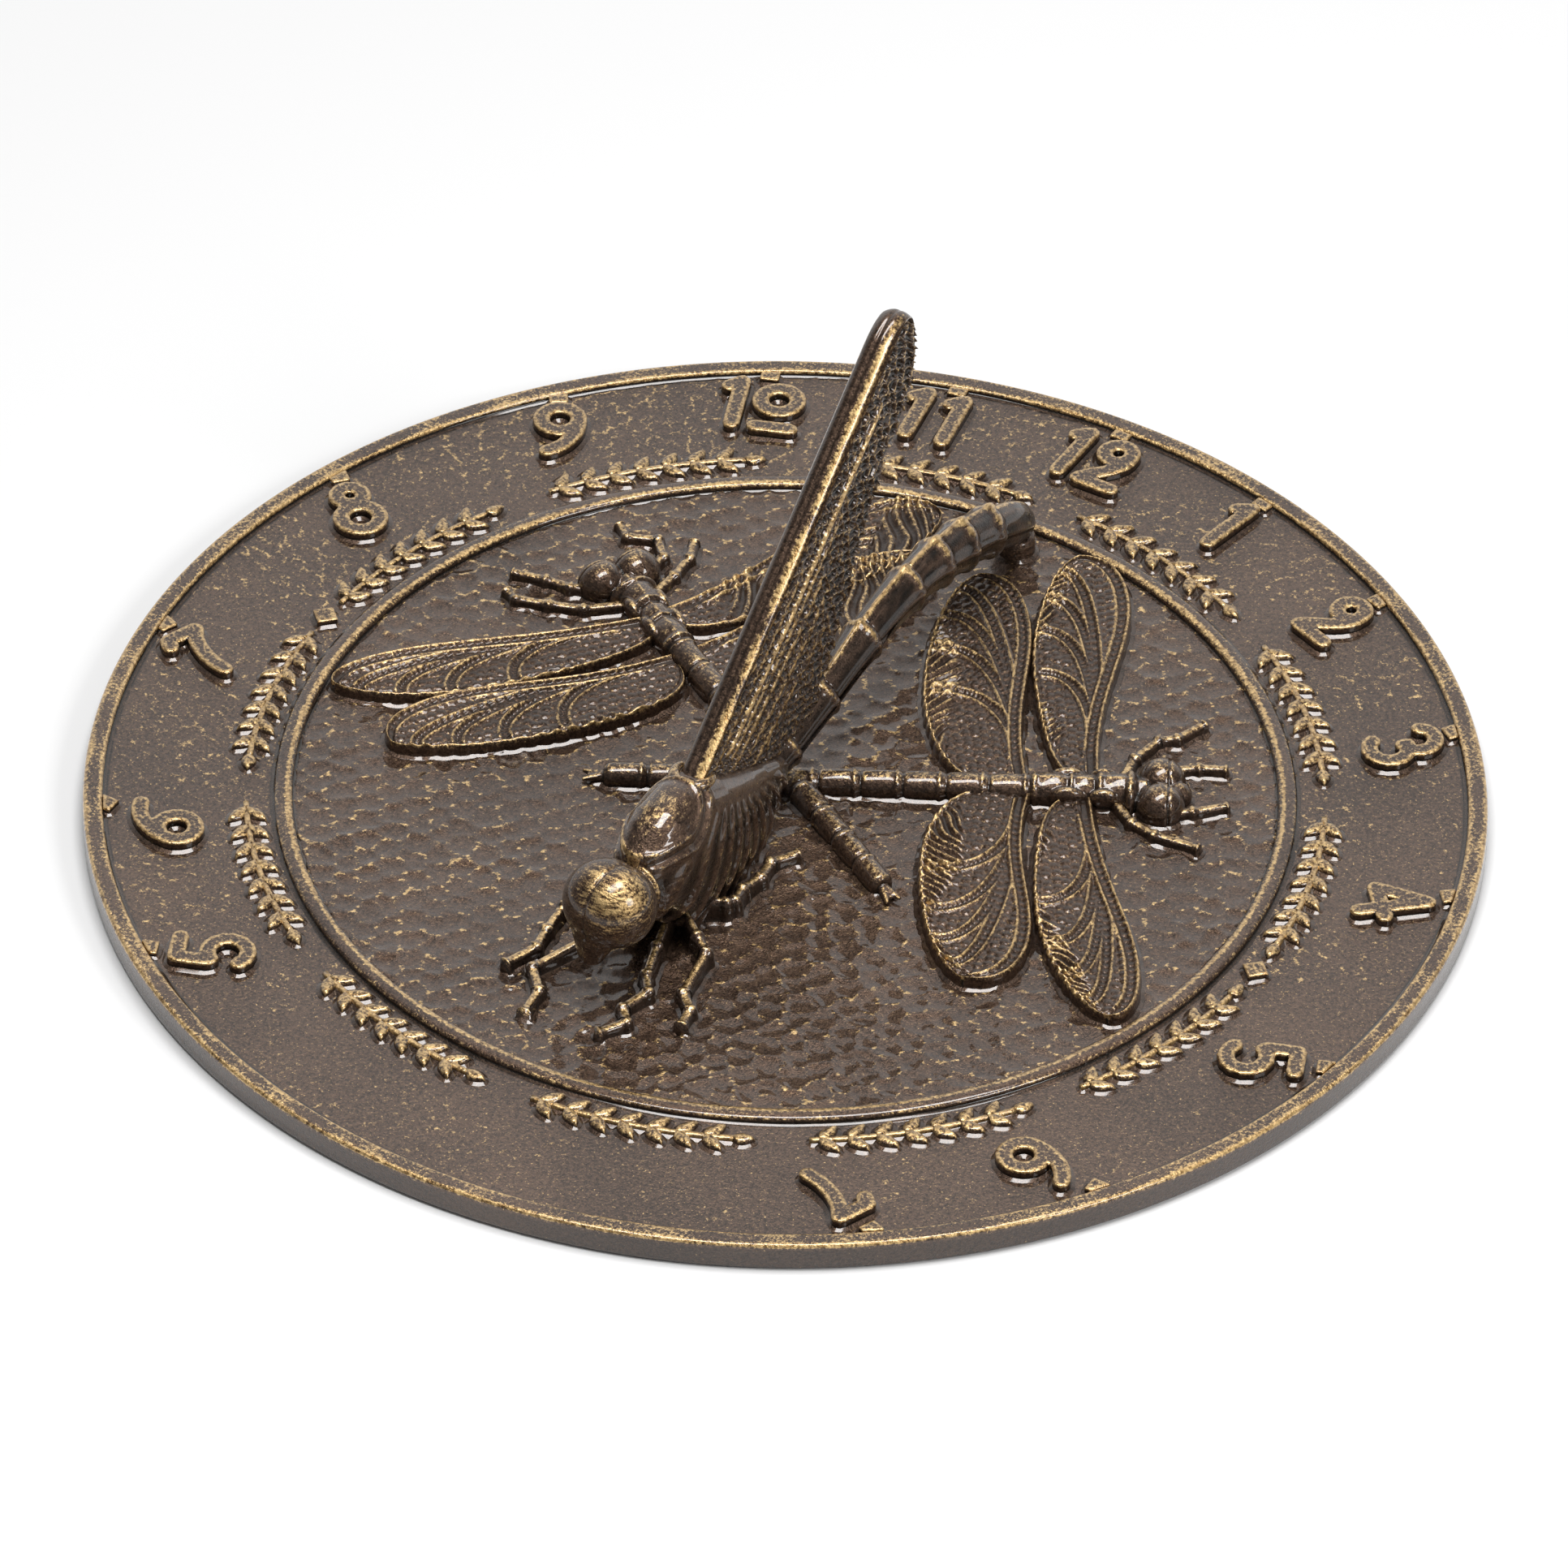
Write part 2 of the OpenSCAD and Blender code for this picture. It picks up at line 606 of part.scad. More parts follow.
module gnomon_body() {
    thorax = [
        thorax_ring(neck_y, 0.55, 0.79, 0.39),
        thorax_ring(neck_y + 3, 0.74, 0.87, 0.29),
        thorax_ring(neck_y + 8, 0.89, 0.97, 0.2),
        thorax_ring(foot_front_y - 0.6, 0.98, 1.02, 0.14),
        thorax_ring(foot_front_y, 0.98, 1.02, -0.14),
        thorax_ring(-47, 1, 1.045, -0.14),
        thorax_ring(seat_front[0] - 0.6, 1, 1.045, -0.14),
        thorax_ring(seat_front[0], 1, 1.045, -0.14),
        thorax_ring(-35, 0.97, 1, -0.14),
        thorax_ring(-28, 0.9, 0.924, -0.12),
        thorax_ring(-21, 0.8, 0.82, -0.09),
        thorax_ring(foot_rear_y, 0.66, 0.68, -0.06),
        thorax_ring(foot_rear_y + 0.6, 0.64, 0.667, 0.14),
        thorax_ring(seat_rear[0], 0.52, 0.552, 0.224)];
    abdomen = [for (i = [0 : abdomen_rings - 1]) for (part = [0.06, 0.82, 0.9, 0.98])
        let (t = (i + part) / abdomen_rings, r = abdomen_size(t), last = i == abdomen_rings - 1)
        abdomen_ring(t, last && part > 0.8 ? r * (part > 0.95 ? 0.4 : part > 0.85 ? 0.72 : 0.9)
            : part == 0.82 ? r * 1.12 : part == 0.9 ? r * 1.12 : r * 0.96)];
    color(bronze) difference() {
        fitted() {
            loft(concat(thorax, abdomen));
            translate([0, rear_screw_y, 0]) cylinder(d = tail_foot_d, h = tail_foot_h);
        }
        at_screws() translate([0, 0, face_z - 1])
            cylinder(d = screw_d + 2 * thread_play, h = tap_depth + 1, $fn = 32);
    }
}

module gnomon_head() {
    head_y = neck_y - eye_r + 0.8;
    color(brass) fitted() difference() {
        union() {
            for (side = [-1, 1]) translate([side * eye_spread / 2, head_y, eye_z])
                rotate([0, 90, 0]) sphere(r = eye_r, $fn = 64);
            translate([0, head_y - eye_r * 0.3, eye_z - eye_r * 0.3]) rotate([145, 0, 0])
                cylinder(r1 = eye_r * 0.7, r2 = eye_r * 0.27, h = eye_r * 1.15);
            translate([0, neck_y - eye_r * 0.5, eye_z - eye_r * 0.2]) rotate([-90, 0, 0])
                cylinder(r = eye_r * 0.48, h = eye_r * 0.6);
        }
        translate([-plate_r, neck_y, 0]) cube([2 * plate_r, plate_r, plate_r]);
    }
}

// Outline of the folded wings, seen from the east
function blade_edge() = concat(
    [seat_front],
    bezier([off_style(style_l, 0), off_style(style_l + 8, 0), off_style(style_l + 13, 3),
        off_style(style_l + 10, 11)], 7),
    bezier([off_style(style_l + 10, 11), off_style(style_l + 8.5, 15), off_style(style_l + 6, 17.5),
        off_style(style_l + 2.6, 18.8)], 3, 1),
    bezier([off_style(style_l + 2.6, 18.8), off_style(style_l + 3, 23), off_style(style_l - 8, 25.5),
        off_style(style_l - 18, 26.6)], 6, 1),
    bezier([off_style(style_l - 18, 26.6), off_style(style_l - 40, 31), off_style(style_l - 52, 41),
        off_style(style_l - 70, 44)], 6, 1),
    [seat_rear]);

// Vein of the folded wings, from the root fan to a place given along and below the style
function blade_vein(f, end) =
    bezier([off_style(62 - 4 * f, 8 + 22 * f), off_style(85, 9 + 20 * f), off_style(110, 9 + 15 * f), end], 10);

module gnomon_wings() {
    veins = [
        blade_vein(0, off_style(style_l + 4, 9)),
        blade_vein(0.28, off_style(style_l - 4, 16)),
        blade_vein(0.62, off_style(style_l - 22, 23)),
        blade_vein(1, off_style(style_l - 50, 31))];
    color(bronze) fitted() {
        // A sketch plane with x along the noon line and y up, extruded across it
        rotate([90, 0, 90]) {
            translate([0, 0, -blade_t / 2]) linear_extrude(blade_t) polygon(blade_edge());
            translate([0, 0, -style_t / 2]) linear_extrude(style_t) polygon(concat(
                [seat_front],
                [off_style(style_l, 0), off_style(style_l + 5, 1.2), off_style(style_l + 2, 4)],
                [off_style(style_l, style_rib_w), off_style(58, style_rib_w)],
                [[seat_front[0] + 5.5, seat_z(seat_front[0] + 5.5)]]));
            intersection() {
                for (path = veins) translate([0, 0, -blade_t / 2 - blade_vein_rise])
                    stroke(path, blade_vein_w, blade_t + 2 * blade_vein_rise);
                translate([0, 0, -blade_t]) linear_extrude(2 * blade_t) polygon(blade_edge());
            }
        }
    }
}

// Legs of the standing dragonfly, lying on the face; routes are east and north of the plate's centre, drawn for
// one distance of the style's foot
drawn_style_foot = 80;

module gnomon_legs() {
    routes = [
        [[-5.5, -54], [-15, -57], [-19.5, -61], [-19, -69], [-18, -75], [-21, -83]],
        [[-2, -54], [-10, -69], [-15, -81.5], [-10, -87], [-9, -95]],
        [[2, -54], [5, -63], [7.5, -71.5], [10.5, -76], [8.5, -83], [11.5, -86.5], [8, -92.5]],
        [[6, -53.5], [11, -56], [15, -59], [17, -72], [21, -76], [22, -81.5]],
        [[6, -46], [10.5, -43], [11.5, -41], [10.5, -36], [11.5, -30], [10.5, -24], [14, -18]],
        [[-6, -46], [-10.5, -43], [-11.5, -41], [-10.5, -36], [-11.5, -30], [-10.5, -24], [-14, -18]]];
    unit = style_foot / drawn_style_foot;
    reach_y = foot_front_y - 0.8;
    side_gap = 1.4;
    color(brass) fitted() difference() {
        for (route = routes) stroke(route * unit, leg_w, leg_t);
        translate([side_gap - thorax_w / 2, reach_y, -1]) cube([thorax_w - 2 * side_gap, -reach_y, 2 * edge_h]);
    }
}

// Screws

module at_screws() {
    translate([0, -front_screw_y * fit, 0]) children();
    translate([0, rear_screw_y * fit, 0]) children();
}

// Countersunk head with its flat side at z = 0
module screw_head_cone(more = 0) {
    cone_h = (screw_head_d - screw_d) / 2;
    cylinder(d1 = screw_head_d + 2 * more, d2 = screw_d + 2 * more, h = cone_h + more);
}

module gnomon_screws() {
    color(steel) at_screws() translate([0, 0, boss_clear]) difference() {
        union() {
            screw_head_cone();
            cylinder(d = screw_d, h = screw_l);
        }
        translate([0, 0, -1]) cylinder(d = 2.5 / cos(30), h = 2.4, $fn = 6);
    }
}

dial_plate();
inner_ring();
hour_marks();
hour_numerals();
band_sprays();
quarter_studs();
west_dragonfly_wings();
west_dragonfly_body();
west_dragonfly_legs();
east_dragonfly_wings();
east_dragonfly_body();
east_dragonfly_legs();
gnomon_legs();
gnomon_body();
gnomon_head();
gnomon_wings();
gnomon_screws();
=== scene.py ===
import math
import random

import bmesh
import bpy
import numpy as np
from mathutils import Matrix, Vector, kdtree, noise


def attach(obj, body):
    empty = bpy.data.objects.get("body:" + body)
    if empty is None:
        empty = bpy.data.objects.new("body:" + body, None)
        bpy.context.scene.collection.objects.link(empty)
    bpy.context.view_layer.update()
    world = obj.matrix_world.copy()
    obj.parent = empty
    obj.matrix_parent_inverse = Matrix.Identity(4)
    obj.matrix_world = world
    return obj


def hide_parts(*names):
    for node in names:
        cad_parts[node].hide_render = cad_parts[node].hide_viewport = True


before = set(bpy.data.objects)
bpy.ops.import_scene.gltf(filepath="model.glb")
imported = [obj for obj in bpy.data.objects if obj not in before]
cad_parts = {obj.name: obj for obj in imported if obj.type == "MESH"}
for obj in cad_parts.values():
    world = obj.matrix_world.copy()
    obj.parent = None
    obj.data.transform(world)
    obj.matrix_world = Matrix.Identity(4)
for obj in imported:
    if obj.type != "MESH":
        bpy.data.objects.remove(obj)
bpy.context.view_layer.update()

# Studio. The dial lies on a pale table and is seen from the south-east, a little above, through a long lens.
# A strip softbox hangs over it and a second softbox stands to the east; the walls are pale to the north-west.
MM = 0.001
view_azimuth = math.radians(30)
view_elevation = math.radians(39.08)
view_roll = math.radians(0.844)
view_distance = 4.2275
view_target = Vector((-1.4, 1.7, 6.6)) * MM
lens_length = 446.9


def put(name, data):
    """Adds an object to the scene."""
    made = bpy.data.objects.new(name, data)
    bpy.context.scene.collection.objects.link(made)
    return made


camera = put("camera", bpy.data.cameras.new("camera"))
camera.data.lens = lens_length
camera.data.sensor_width = 36
camera.data.clip_start = 0.1
camera.data.clip_end = 50
heading = Vector((
    math.sin(view_azimuth) * math.cos(view_elevation),
    -math.cos(view_azimuth) * math.cos(view_elevation),
    math.sin(view_elevation)))
camera.location = view_target + heading * view_distance
level = (-heading).to_track_quat("-Z", "Y").to_matrix()
camera.rotation_euler = (level @ Matrix.Rotation(view_roll, 3, "Z")).to_euler()
bpy.context.scene.camera = camera
bpy.context.scene.view_settings.view_transform = "Standard"


def softbox(name, place, size, glow, spin=0):
    """Rectangular lamp that looks at the dial; glow is how bright its face is, spin turns it in its plane."""
    lamp = bpy.data.lights.new(name, "AREA")
    lamp.shape = "RECTANGLE"
    lamp.size, lamp.size_y = size
    lamp.energy = glow * size[0] * size[1] * math.pi
    holder = put(name, lamp)
    holder.location = place
    aim = (-Vector(place)).to_track_quat("-Z", "Y").to_matrix()
    holder.rotation_euler = (aim @ Matrix.Rotation(math.radians(spin), 3, "Z")).to_euler()


softbox("overhead_strip", (0.02, -0.03, 1.5), size=(1.1, 0.44), glow=12.0, spin=30)
softbox("east_softbox", (1.22, -0.2, 0.94), size=(0.46, 0.46), glow=12.0)


def wire(tree, kind, inputs=None, **settings):
    """Adds one shader node, sets it up and joins or fills its inputs."""
    made = tree.nodes.new("ShaderNode" + kind)
    for key, value in settings.items():
        setattr(made, key, value)
    for key, value in (inputs or {}).items():
        if isinstance(value, bpy.types.NodeSocket):
            tree.links.new(value, made.inputs[key])
        else:
            made.inputs[key].default_value = value
    return made


wall_glow = 0.2
shaded_wall = 0.1
pale_wall = 0.86
world = bpy.data.worlds.new("studio")
world.use_nodes = True
room = world.node_tree
room.nodes.clear()
rays = wire(room, "LightPath")
way = wire(room, "TexCoord").outputs["Generated"]
north_west = (-math.sin(view_azimuth), math.cos(view_azimuth), 0)
facing = wire(room, "VectorMath", {0: way, 1: north_west}, operation="DOT_PRODUCT").outputs["Value"]
wall = wire(room, "MapRange", {"Value": facing, "From Min": 0.28, "From Max": 0.8, "To Min": shaded_wall,
                               "To Max": pale_wall}, interpolation_type="SMOOTHSTEP").outputs[0]
mirrored = wire(room, "Math", {0: rays.outputs["Is Glossy Ray"], 1: rays.outputs["Is Transmission Ray"]},
                operation="MAXIMUM").outputs[0]
glow = wire(room, "MapRange", {"Value": mirrored, "To Min": wall_glow, "To Max": wall}).outputs[0]
seen = rays.outputs["Is Camera Ray"]
glow = wire(room, "MapRange", {"Value": seen, "To Min": glow, "To Max": 1.0}).outputs[0]
walls = wire(room, "Background", {"Color": (1, 1, 1, 1), "Strength": glow})
wire(room, "OutputWorld", {"Surface": walls.outputs[0]})
bpy.context.scene.world = world

table_half = 6.0
table_gap = 0.2 * MM
table_top = bmesh.new()
bmesh.ops.create_grid(table_top, x_segments=1, y_segments=1, size=table_half)
table_mesh = bpy.data.meshes.new("table_top")
table_top.to_mesh(table_mesh)
table_top.free()
table = put("table_top", table_mesh)
table.location.z = -table_gap


def bare_finish(name):
    """New material with an empty node tree."""
    finish = bpy.data.materials.new(name)
    finish.use_nodes = True
    finish.node_tree.nodes.clear()
    return finish, finish.node_tree


pale, tree = bare_finish("pale_table")
mottle = wire(tree, "TexNoise", {"Scale": 40.0})
shade = wire(tree, "MapRange", {"Value": mottle.outputs["Fac"], "To Min": 0.94, "To Max": 0.96})
chalk = wire(tree, "BsdfDiffuse", {"Color": shade.outputs[0]})
wire(tree, "OutputMaterial", {"Surface": chalk.outputs[0]})
table_mesh.materials.append(pale)

# Dial plate. A sand-cast disc with a raised land round its rim, a sunk face and a hollow back with two screw
# bosses. It is painted dark bronze, rubbed with brass paint where it stands proud, and lacquered.
face_z = 5.2
back_z = 2.2
land_top = 6.6
band_in = 111.4
band_out = 147.4
spin_steps = 940
dark_bronze = (0.042, 0.024, 0.015, 1)
pale_bronze = (0.145, 0.088, 0.058, 1)
# Painted shade: hollows, creases and the sides of forms darken towards this colour.
painted_shade_bronze = (0.012, 0.008, 0.005, 1)
deep_brass = (0.30, 0.17, 0.062, 1)
pale_brass = (0.78, 0.54, 0.25, 1)


def bronze_finish(name, grain=0.8, fleck=0.35, gloss=0.9, polish=0.07, streak=(1, 1, 1)):
    """Dark bronze paint under lacquer: brass where the vertex mark is high, painted shade where it is under
    0.

    grain is the depth of the sand texture, fleck strews brass dust over flat ground, gloss and polish are the
    lacquer's strength and roughness, and streak draws the brushing out along an axis."""
    finish, tree = bare_finish(name)

    def grains(scale, detail, where):
        return wire(tree, "TexNoise", {"Vector": where, "Scale": scale, "Detail": detail}).outputs["Fac"]

    def spread(value, low, high, start, end, smooth=False):
        kind = "SMOOTHSTEP" if smooth else "LINEAR"
        return wire(tree, "MapRange", {"Value": value, "From Min": low, "From Max": high, "To Min": start,
                                       "To Max": end}, interpolation_type=kind).outputs[0]

    def plus(a, b):
        return wire(tree, "Math", {0: a, 1: b}, operation="ADD").outputs[0]

    def blend(factor, a, b):
        return wire(tree, "Mix", {"Factor": factor, "A": a, "B": b}, data_type="RGBA").outputs["Result"]

    where = wire(tree, "TexCoord").outputs["Object"]
    drawn = wire(tree, "VectorMath", {0: where, 1: streak}, operation="MULTIPLY").outputs[0]
    speck = grains(2600.0, 2.0, where)
    fine = grains(1200.0, 3.0, drawn)
    dust = grains(2100.0, 1.0, where)
    cloud = grains(26.0, 2.0, where)
    rub_and_painted_light = wire(tree, "Attribute", attribute_name="rub_and_painted_light").outputs["Fac"]
    level = plus(plus(rub_and_painted_light, spread(speck, 0, 1, -0.55, 0.55)), spread(fine, 0, 1, -0.7, 0.7))
    level = plus(level, spread(dust, 0.62, 0.74, 0.0, fleck, True))
    brass = spread(level, 0.3, 0.85, 0.0, 1.0, True)
    mottle = plus(spread(cloud, 0.3, 0.7, -0.2, 0.2), spread(plus(speck, fine), 0.78, 1.22, 0, 1))
    paint = blend(mottle, dark_bronze, pale_bronze)
    # Painted shade: where the mark is under 0, the paint darkens towards the painted-shade colour.
    paint = blend(spread(rub_and_painted_light, -0.7, 0.0, 1.0, 0.0), paint, painted_shade_bronze)
    colour = blend(brass, paint, blend(spread(fine, 0.35, 0.62, 0, 1), deep_brass, pale_brass))
    sand = plus(speck, fine)
    relief = wire(tree, "Bump", {"Height": sand, "Strength": grain, "Distance": 0.00022}).outputs[0]
    skin = wire(tree, "BsdfPrincipled", {
        "Base Color": colour, "Metallic": spread(brass, 0, 1, 0.7, 0.9), "Normal": relief,
        "Roughness": spread(fine, 0.3, 0.7, 0.25, 0.46), "Specular IOR Level": 0.3, "Coat Weight": gloss,
        "Coat Roughness": polish, "Coat IOR": 1.6})
    wire(tree, "OutputMaterial", {"Surface": skin.outputs[0]})
    return finish


def mark_rub_and_painted_light(mesh, wear, top, ground):
    """Adds to each vertex's mark how proud it stands: over 0 on outer bends and tops, under 0 in hollows as
    painted shade.
    """
    count = len(mesh.vertices)
    place = np.empty(count * 3)
    normal = np.empty(count * 3)
    ends = np.empty(len(mesh.edges) * 2, dtype=np.int32)
    mesh.vertices.foreach_get("co", place)
    mesh.vertices.foreach_get("normal", normal)
    mesh.edges.foreach_get("vertices", ends)
    place = place.reshape(-1, 3) / MM
    normal = normal.reshape(-1, 3)
    a, b = ends.reshape(-1, 2).T
    step = place[b] - place[a]
    far = (step ** 2).sum(1) + 1e-9
    share = np.maximum(np.bincount(ends, minlength=count), 1)
    bend = np.bincount(a, -(normal[a] * step).sum(1) / far, count)
    bend = (bend + np.bincount(b, (normal[b] * step).sum(1) / far, count)) / share
    for _ in range(2):
        around = np.bincount(a, bend[b], count) + np.bincount(b, bend[a], count)
        bend = (bend + around / share) / 2
    upward = np.clip(normal[:, 2], 0, 1)
    brushed = 0.2 + 0.8 * np.clip(1.6 * upward, 0, 1)
    clear = np.clip((place[:, 2] - ground - 0.1) / 0.4, 0, 1)
    # Painted shade: hollows and creases, where the bend is under 0, go below 0. With top, faces that look up
    # gain brass, partly rubbed and partly a painted top light, and the sides go below 0 as painted shade.
    rub_and_painted_light = np.where(bend > 0, bend * wear * brushed, bend * wear) + top * (1.5 * upward ** 3 - 0.5)
    rub_and_painted_light = np.where(rub_and_painted_light > 0, rub_and_painted_light * clear, rub_and_painted_light)
    marks = mesh.attributes.get("rub_and_painted_light") or mesh.attributes.new("rub_and_painted_light", "FLOAT", "POINT")
    drawn = np.empty(count)
    marks.data.foreach_get("value", drawn)
    marks.data.foreach_set("value", np.clip(rub_and_painted_light + drawn, -1, 1.3))


def cast_piece(name, shape, finish, wear=3.0, top=0.0, ground=face_z):
    """Makes an object of a shape drawn in millimetres; no brass is rubbed on it below the ground."""
    bmesh.ops.scale(shape, vec=(MM, MM, MM), verts=shape.verts)
    mesh = bpy.data.meshes.new(name)
    shape.to_mesh(mesh)
    shape.free()
    mesh.polygons.foreach_set("use_smooth", [True] * len(mesh.polygons))
    mark_rub_and_painted_light(mesh, wear, top, ground)
    mesh.materials.append(finish)
    return put(name, mesh)


def round_corner(centre, radius, start, end, steps=5):
    """Points of an arc in a turned profile, from the start to the end angle in degrees."""
    angles = np.radians(np.linspace(start, end, steps))
    return [(centre[0] + radius * math.cos(a), centre[1] + radius * math.sin(a)) for a in angles]


def turned(profile, steps, about=(0, 0)):
    """Solid or ring turned from a profile of radius and height."""
    shape = bmesh.new()
    points = [shape.verts.new((r, 0, z)) for r, z in profile]
    lines = [shape.edges.new(pair) for pair in zip(points, points[1:])]
    if profile[0][0] > 0:
        lines.append(shape.edges.new((points[-1], points[0])))
    bmesh.ops.spin(shape, geom=lines + points, cent=(0, 0, 0), axis=(0, 0, 1), dvec=(0, 0, 0),
                   angle=math.tau, steps=steps, use_merge=True)
    bmesh.ops.remove_doubles(shape, verts=shape.verts, dist=1e-4)
    bmesh.ops.recalc_face_normals(shape, faces=shape.faces)
    bmesh.ops.translate(shape, vec=(*about, 0), verts=shape.verts)
    return shape


def meniscus(foot, out):
    """Points of the lacquer's fillet where a round wall meets the face, on its inside when out is -1."""
    rises = ((0.0, 0.52), (0.08, 0.38), (0.32, 0.265), (0.6, 0.13), (0.86, 0.01), (1.1, 0.0))
    return [(foot + out * far, face_z + high) for far, high in rises]


def shift(shape, way):
    """Moves a whole shape."""
    bmesh.ops.translate(shape, vec=way, verts=shape.verts)


def gather(shape, other):
    """Adds another closed shape to a shape."""
    mesh = bpy.data.meshes.new("gather")
    other.to_mesh(mesh)
    other.free()
    shape.from_mesh(mesh)
    bpy.data.meshes.remove(mesh)


def beaten(pitch, reach, stray, seed):
    """Search tree over the middles of hammer marks: shifted rows with some stray."""
    draw = random.Random(seed)
    row_share = 0.82
    rows = round(reach / (row_share * pitch))
    columns = round(reach / pitch) + 1
    middles = []
    for row in range(-rows, rows + 1):
        for column in range(-columns, columns + 1):
            x = (column + 0.5 * (row % 2)) * pitch + draw.uniform(-stray, stray)
            y = row_share * row * pitch + draw.uniform(-stray, stray) + 2.2 * math.sin(x / 17.0)
            middles.append((x, y, 0))
    marks = kdtree.KDTree(len(middles))
    for index, spot in enumerate(middles):
        marks.insert(spot, index)
    marks.balance()
    return marks


def beaten_at(marks, spot):
    """Distance to the nearest mark's middle, and how much farther the next one is: 0 on the ridge between."""
    swayed = spot.copy()
    for scale, aside, far in ((0.16, (9, 5, 2), 1.5), (0.5, (3, 8, 1), 0.8)):
        fine = spot * scale
        swayed += Vector((noise.noise(fine), noise.noise(fine + Vector(aside)), 0)) * far
    swayed.z = 0
    first, second = marks.find_n(swayed, 2)
    return first[2], second[2] - first[2]


def bell(x, width):
    """Bell curve of a number or an array: 1 at 0, and nearly 0 two widths away."""
    return np.exp(-(x / width) ** 2)


def held(x):
    """Keeps one number from 0 to 1."""
    return max(0.0, min(1.0, x))


def more_to_north_west(spot):
    """How much brass shows at a place: patchy rub, rising towards the north-west as painted light on that
    side.
    """
    return 0.5 + 0.3 * (spot.y - spot.x) / 110 + 1.1 * noise.noise(spot * 0.045)


band_steps = [(r, face_z) for r in np.arange(band_out - 0.6, band_in, -0.95)]
plate_profile = (
    [(0, back_z)] + [(r, back_z) for r in (50, 100, 144)] + round_corner((144.5, 1.2), 1, 90, 0)
    + [(145.5, 0.3), (145.8, 0), (151.9, 0), (152.5, 0.6), (152.5, 2), (152.5, 3.6), (152.5, 5)]
    + round_corner((151.6, 5.7), 0.9, 0, 90, 6) + [(150.9, land_top), (150.2, land_top), (149.6, land_top)]
    + round_corner((148.9, 5.9), 0.7, 90, 180) + meniscus(148.2, -1)
    + band_steps + [(108, face_z), (60, face_z), (0, face_z)])
plate_shape = turned(plate_profile, spin_steps)
band_marks = beaten(pitch=5.2, reach=150, stray=1.7, seed=3)
rub_and_light_layer = plate_shape.verts.layers.float.new("rub_and_painted_light")
for vert in plate_shape.verts:
    spot = vert.co.copy()
    if spot.z > face_z - 0.1 and band_in - 1 < spot.xy.length < band_out:
        ridge = bell(beaten_at(band_marks, spot)[1], 0.55)
        patchy = 0.9 * more_to_north_west(spot)
        patchy = patchy + 0.9 * noise.noise(spot * 0.4) + 0.9 * noise.noise(spot * 0.8)
        ridge *= held(patchy)
        vert.co.z += 0.1 * ridge + 0.05 * noise.noise(spot * 0.09) - 0.02
        vert[rub_and_light_layer] = 0.65 * ridge
    elif spot.z > land_top - 0.9:
        vert[rub_and_light_layer] = 0.22 + 0.5 * noise.noise(spot * 0.12)
    elif spot.z < face_z - 0.1:
        # Painted shade: the walls and back below the face are set below 0 and darken.
        vert[rub_and_light_layer] = -0.35
screw_places = (-34.0, 100.0)
boss_profile = [(2.3, 2.9), (4.1, 0.8), (6.6, 0.8), (7.0, 1.2), (7.0, 2.9)]
for screw_y in screw_places:
    gather(plate_shape, turned(boss_profile, steps=48, about=(0, screw_y)))
plate_lacquer = bronze_finish("plate_lacquer", grain=1.0, fleck=0.58)
plate = cast_piece("plate_casting", plate_shape, plate_lacquer, wear=3.0, ground=0)
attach(plate, "root")
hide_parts("dial_plate")

# Hammered field. The ground inside the ring is part of the plate casting, modelled as if beaten with a round
# hammer: shallow dimples that meet in low ridges, which the brass rub picks out.
field_r = 107.3
dimple_pitch = 6.3
dimple_depth = 0.55
field_grid = 0.64
field_marks = beaten(dimple_pitch, reach=112, stray=1.2, seed=11)


def beaten_height(spot):
    """Height of the hammered ground at a place, and how far the place is from the nearest ridge."""
    near, gap = beaten_at(field_marks, spot)
    deep = dimple_depth * (0.85 + 0.5 * noise.noise(spot * 0.05))
    return face_z + 0.04 + deep * min(1.3, (near / (dimple_pitch * 0.56)) ** 2), gap


def drop_edge(shape, edge, level):
    """Extrudes an open edge straight down to a level; gives the new open edge and its corners."""
    made = bmesh.ops.extrude_edge_only(shape, edges=edge)["geom"]
    corners = [item for item in made if isinstance(item, bmesh.types.BMVert)]
    for v in corners:
        v.co.z = level
    return [e for e in made if isinstance(e, bmesh.types.BMEdge) and e.is_boundary], corners


def close_up(shape):
    """Fills the open ends of a shape and points its faces outwards."""
    bmesh.ops.holes_fill(shape, edges=[e for e in shape.edges if e.is_boundary], sides=0)
    bmesh.ops.recalc_face_normals(shape, faces=shape.faces)


field_shape = bmesh.new()
cells_across = round(2 * field_r / field_grid)
bmesh.ops.create_grid(field_shape, x_segments=cells_across, y_segments=cells_across, size=field_r)
outside = [v for v in field_shape.verts if v.co.length > field_r]
bmesh.ops.delete(field_shape, geom=outside, context="VERTS")
rub_and_light_layer = field_shape.verts.layers.float.new("rub_and_painted_light")
for vert in field_shape.verts:
    spot = vert.co.copy()
    patchy = held(0.1 + 0.5 * more_to_north_west(spot) + 2.8 * noise.noise(spot * 0.6))
    vert.co.z, gap = beaten_height(spot)
    vert[rub_and_light_layer] = 1.05 * patchy * bell(gap, 0.5)
drop_edge(field_shape, [e for e in field_shape.edges if e.is_boundary], face_z - 1.0)
close_up(field_shape)
field_lacquer = bronze_finish("field_lacquer", grain=1.0)
field = cast_piece("hammered_field", field_shape, field_lacquer, wear=0.5, ground=0)
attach(field, "root")

